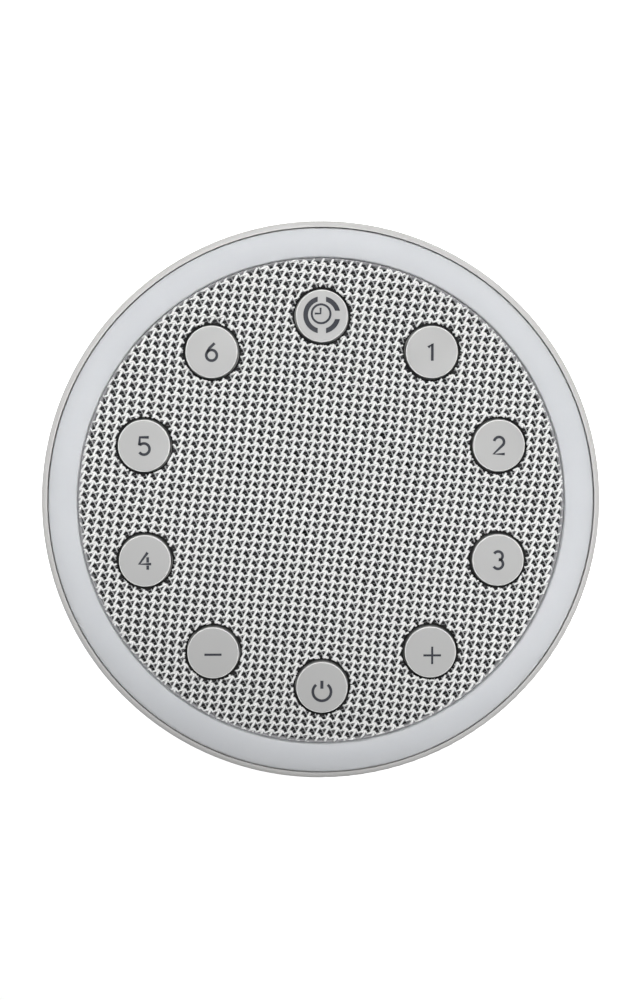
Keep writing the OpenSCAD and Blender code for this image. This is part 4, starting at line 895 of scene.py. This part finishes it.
def hem():
    """The hem's points and faces, its outline turned round the axis."""
    turns = np.linspace(0, 2 * math.pi, hem_steps, endpoint=False)
    points = [(r * math.cos(t), r * math.sin(t), z) for t in turns for r, z in hem_profile]
    count = len(hem_profile)
    faces = []
    for i in range(hem_steps):
        here, there = i * count, (i + 1) % hem_steps * count
        for k in range(count):
            after = (k + 1) % count
            faces.append((here + k, there + k, there + after, here + after))
    return np.array(points) * mm, np.array(faces)


cloth = knit_mesh("speaker_cloth_columns", yarns(column_yarn, one_down, one_along, 0.245, 0.225, 6), hem())

# %% Knit the thin yarns behind
slantwise = (1, 1)
behind = yarns(cross_yarn, slantwise, one_along, 0.14, 0.07, 4,
               reach=2 * lattice_reach, cut_step=0.3, sunk=0.0)
for stitch, wide in back_yarns:
    behind += yarns(stitch, one_along, one_down, wide, 0.05, 3)
back_layer = knit_mesh("speaker_cloth_back", behind)

# %% [markdown]
# ## The yarn's finish
# Polyester yarn is a bundle of fine bright filaments, lightly twisted. Filaments as geometry would be
# millions of faces, and at this size they are finer than any picture shows, so they are bands in the
# material, drawn in the map that runs along and round each yarn. The yarn gets a little sheen. Its crest is
# painted paler and its flanks greyer, a painted highlight and painted shade, and deep in the knit it is
# painted greyer, as painted shade on top of the shade the light casts there.

# %% Material: yarn
tree, shader = surface("cloth", Sheen_Weight=0.1, Sheen_Roughness=0.45, Specular_IOR_Level=0.5)
uv = put(tree, "ShaderNodeUVMap", uv_map="yarn").outputs[0]
along, about, _ = put(tree, "ShaderNodeSeparateXYZ", {0: uv}).outputs
place = spot(tree)
wobble = noise(tree, place, 2500.0, 2.0)
filaments_round, twist, wobble_size = 9.0, 1.6, 5.0
lie = sums(tree, "ADD", product(tree, along, twist * 2 * math.pi), product(tree, wobble, wobble_size))
phase = sums(tree, "ADD", product(tree, about, filaments_round * 2 * math.pi), lie)
filament = spread(tree, sums(tree, "SINE", phase), -1.0, 1.0)
blotch = noise(tree, place, 380.0, 3.0)
shade = weighed(tree, filament, 0.4, spread(tree, blotch, 0.3, 0.7))
# The yarn's top is painted paler and its flanks greyer: a painted highlight on the crest and painted shade on
# the flanks.
lit_crest_share = spread(tree, sums(tree, "SINE", product(tree, about, 2 * math.pi)), 0.0, 0.9)
shaded_flank = tint(tree, shade, (0.55, 0.55, 0.55), (0.66, 0.66, 0.655))
crest_and_flank_painted = tint(tree, lit_crest_share, shaded_flank, tint(tree, shade, (0.92, 0.92, 0.915), (0.99, 0.99, 0.985)))
# Deep in the knit the yarn is painted greyer: painted shade, on top of the shade the light casts there.
height = put(tree, "ShaderNodeSeparateXYZ", {0: place}).outputs[2]
down_in_knit = spread(tree, height, (cloth_mid + 0.20) * mm, (cloth_mid - 0.22) * mm)
depth_shade_share = sums(tree, "POWER", down_in_knit, 1.6)
depth_shaded_yarn = tint(tree, depth_shade_share, crest_and_flank_painted, (0.31, 0.31, 0.32))
tree.links.new(depth_shaded_yarn, shader.inputs["Base Color"])
tree.links.new(spread(tree, filament, 0.0, 1.0, 0.55, 0.42), shader.inputs["Roughness"])
relief(tree, shader, filament, 1.2e-5)

# %% Hand the knit over as the cloth
for piece in (rows, cloth, back_layer):
    piece.data.materials.append(finishes["cloth"])
    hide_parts("speaker_cloth")
    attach(piece, "casing")

# %% [markdown]
# ## The size, dressed
# The part should fill the same box dressed as bare, so the two boxes are compared, and the last line prints
# how far the high corner has grown.

# %% Compare the boxes
dressed_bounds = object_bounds()
growth = [round((b - a) / mm, 3) for a, b in zip(solid_bounds[1], dressed_bounds[1])]
print("grown by", growth, "mm at the high corner")
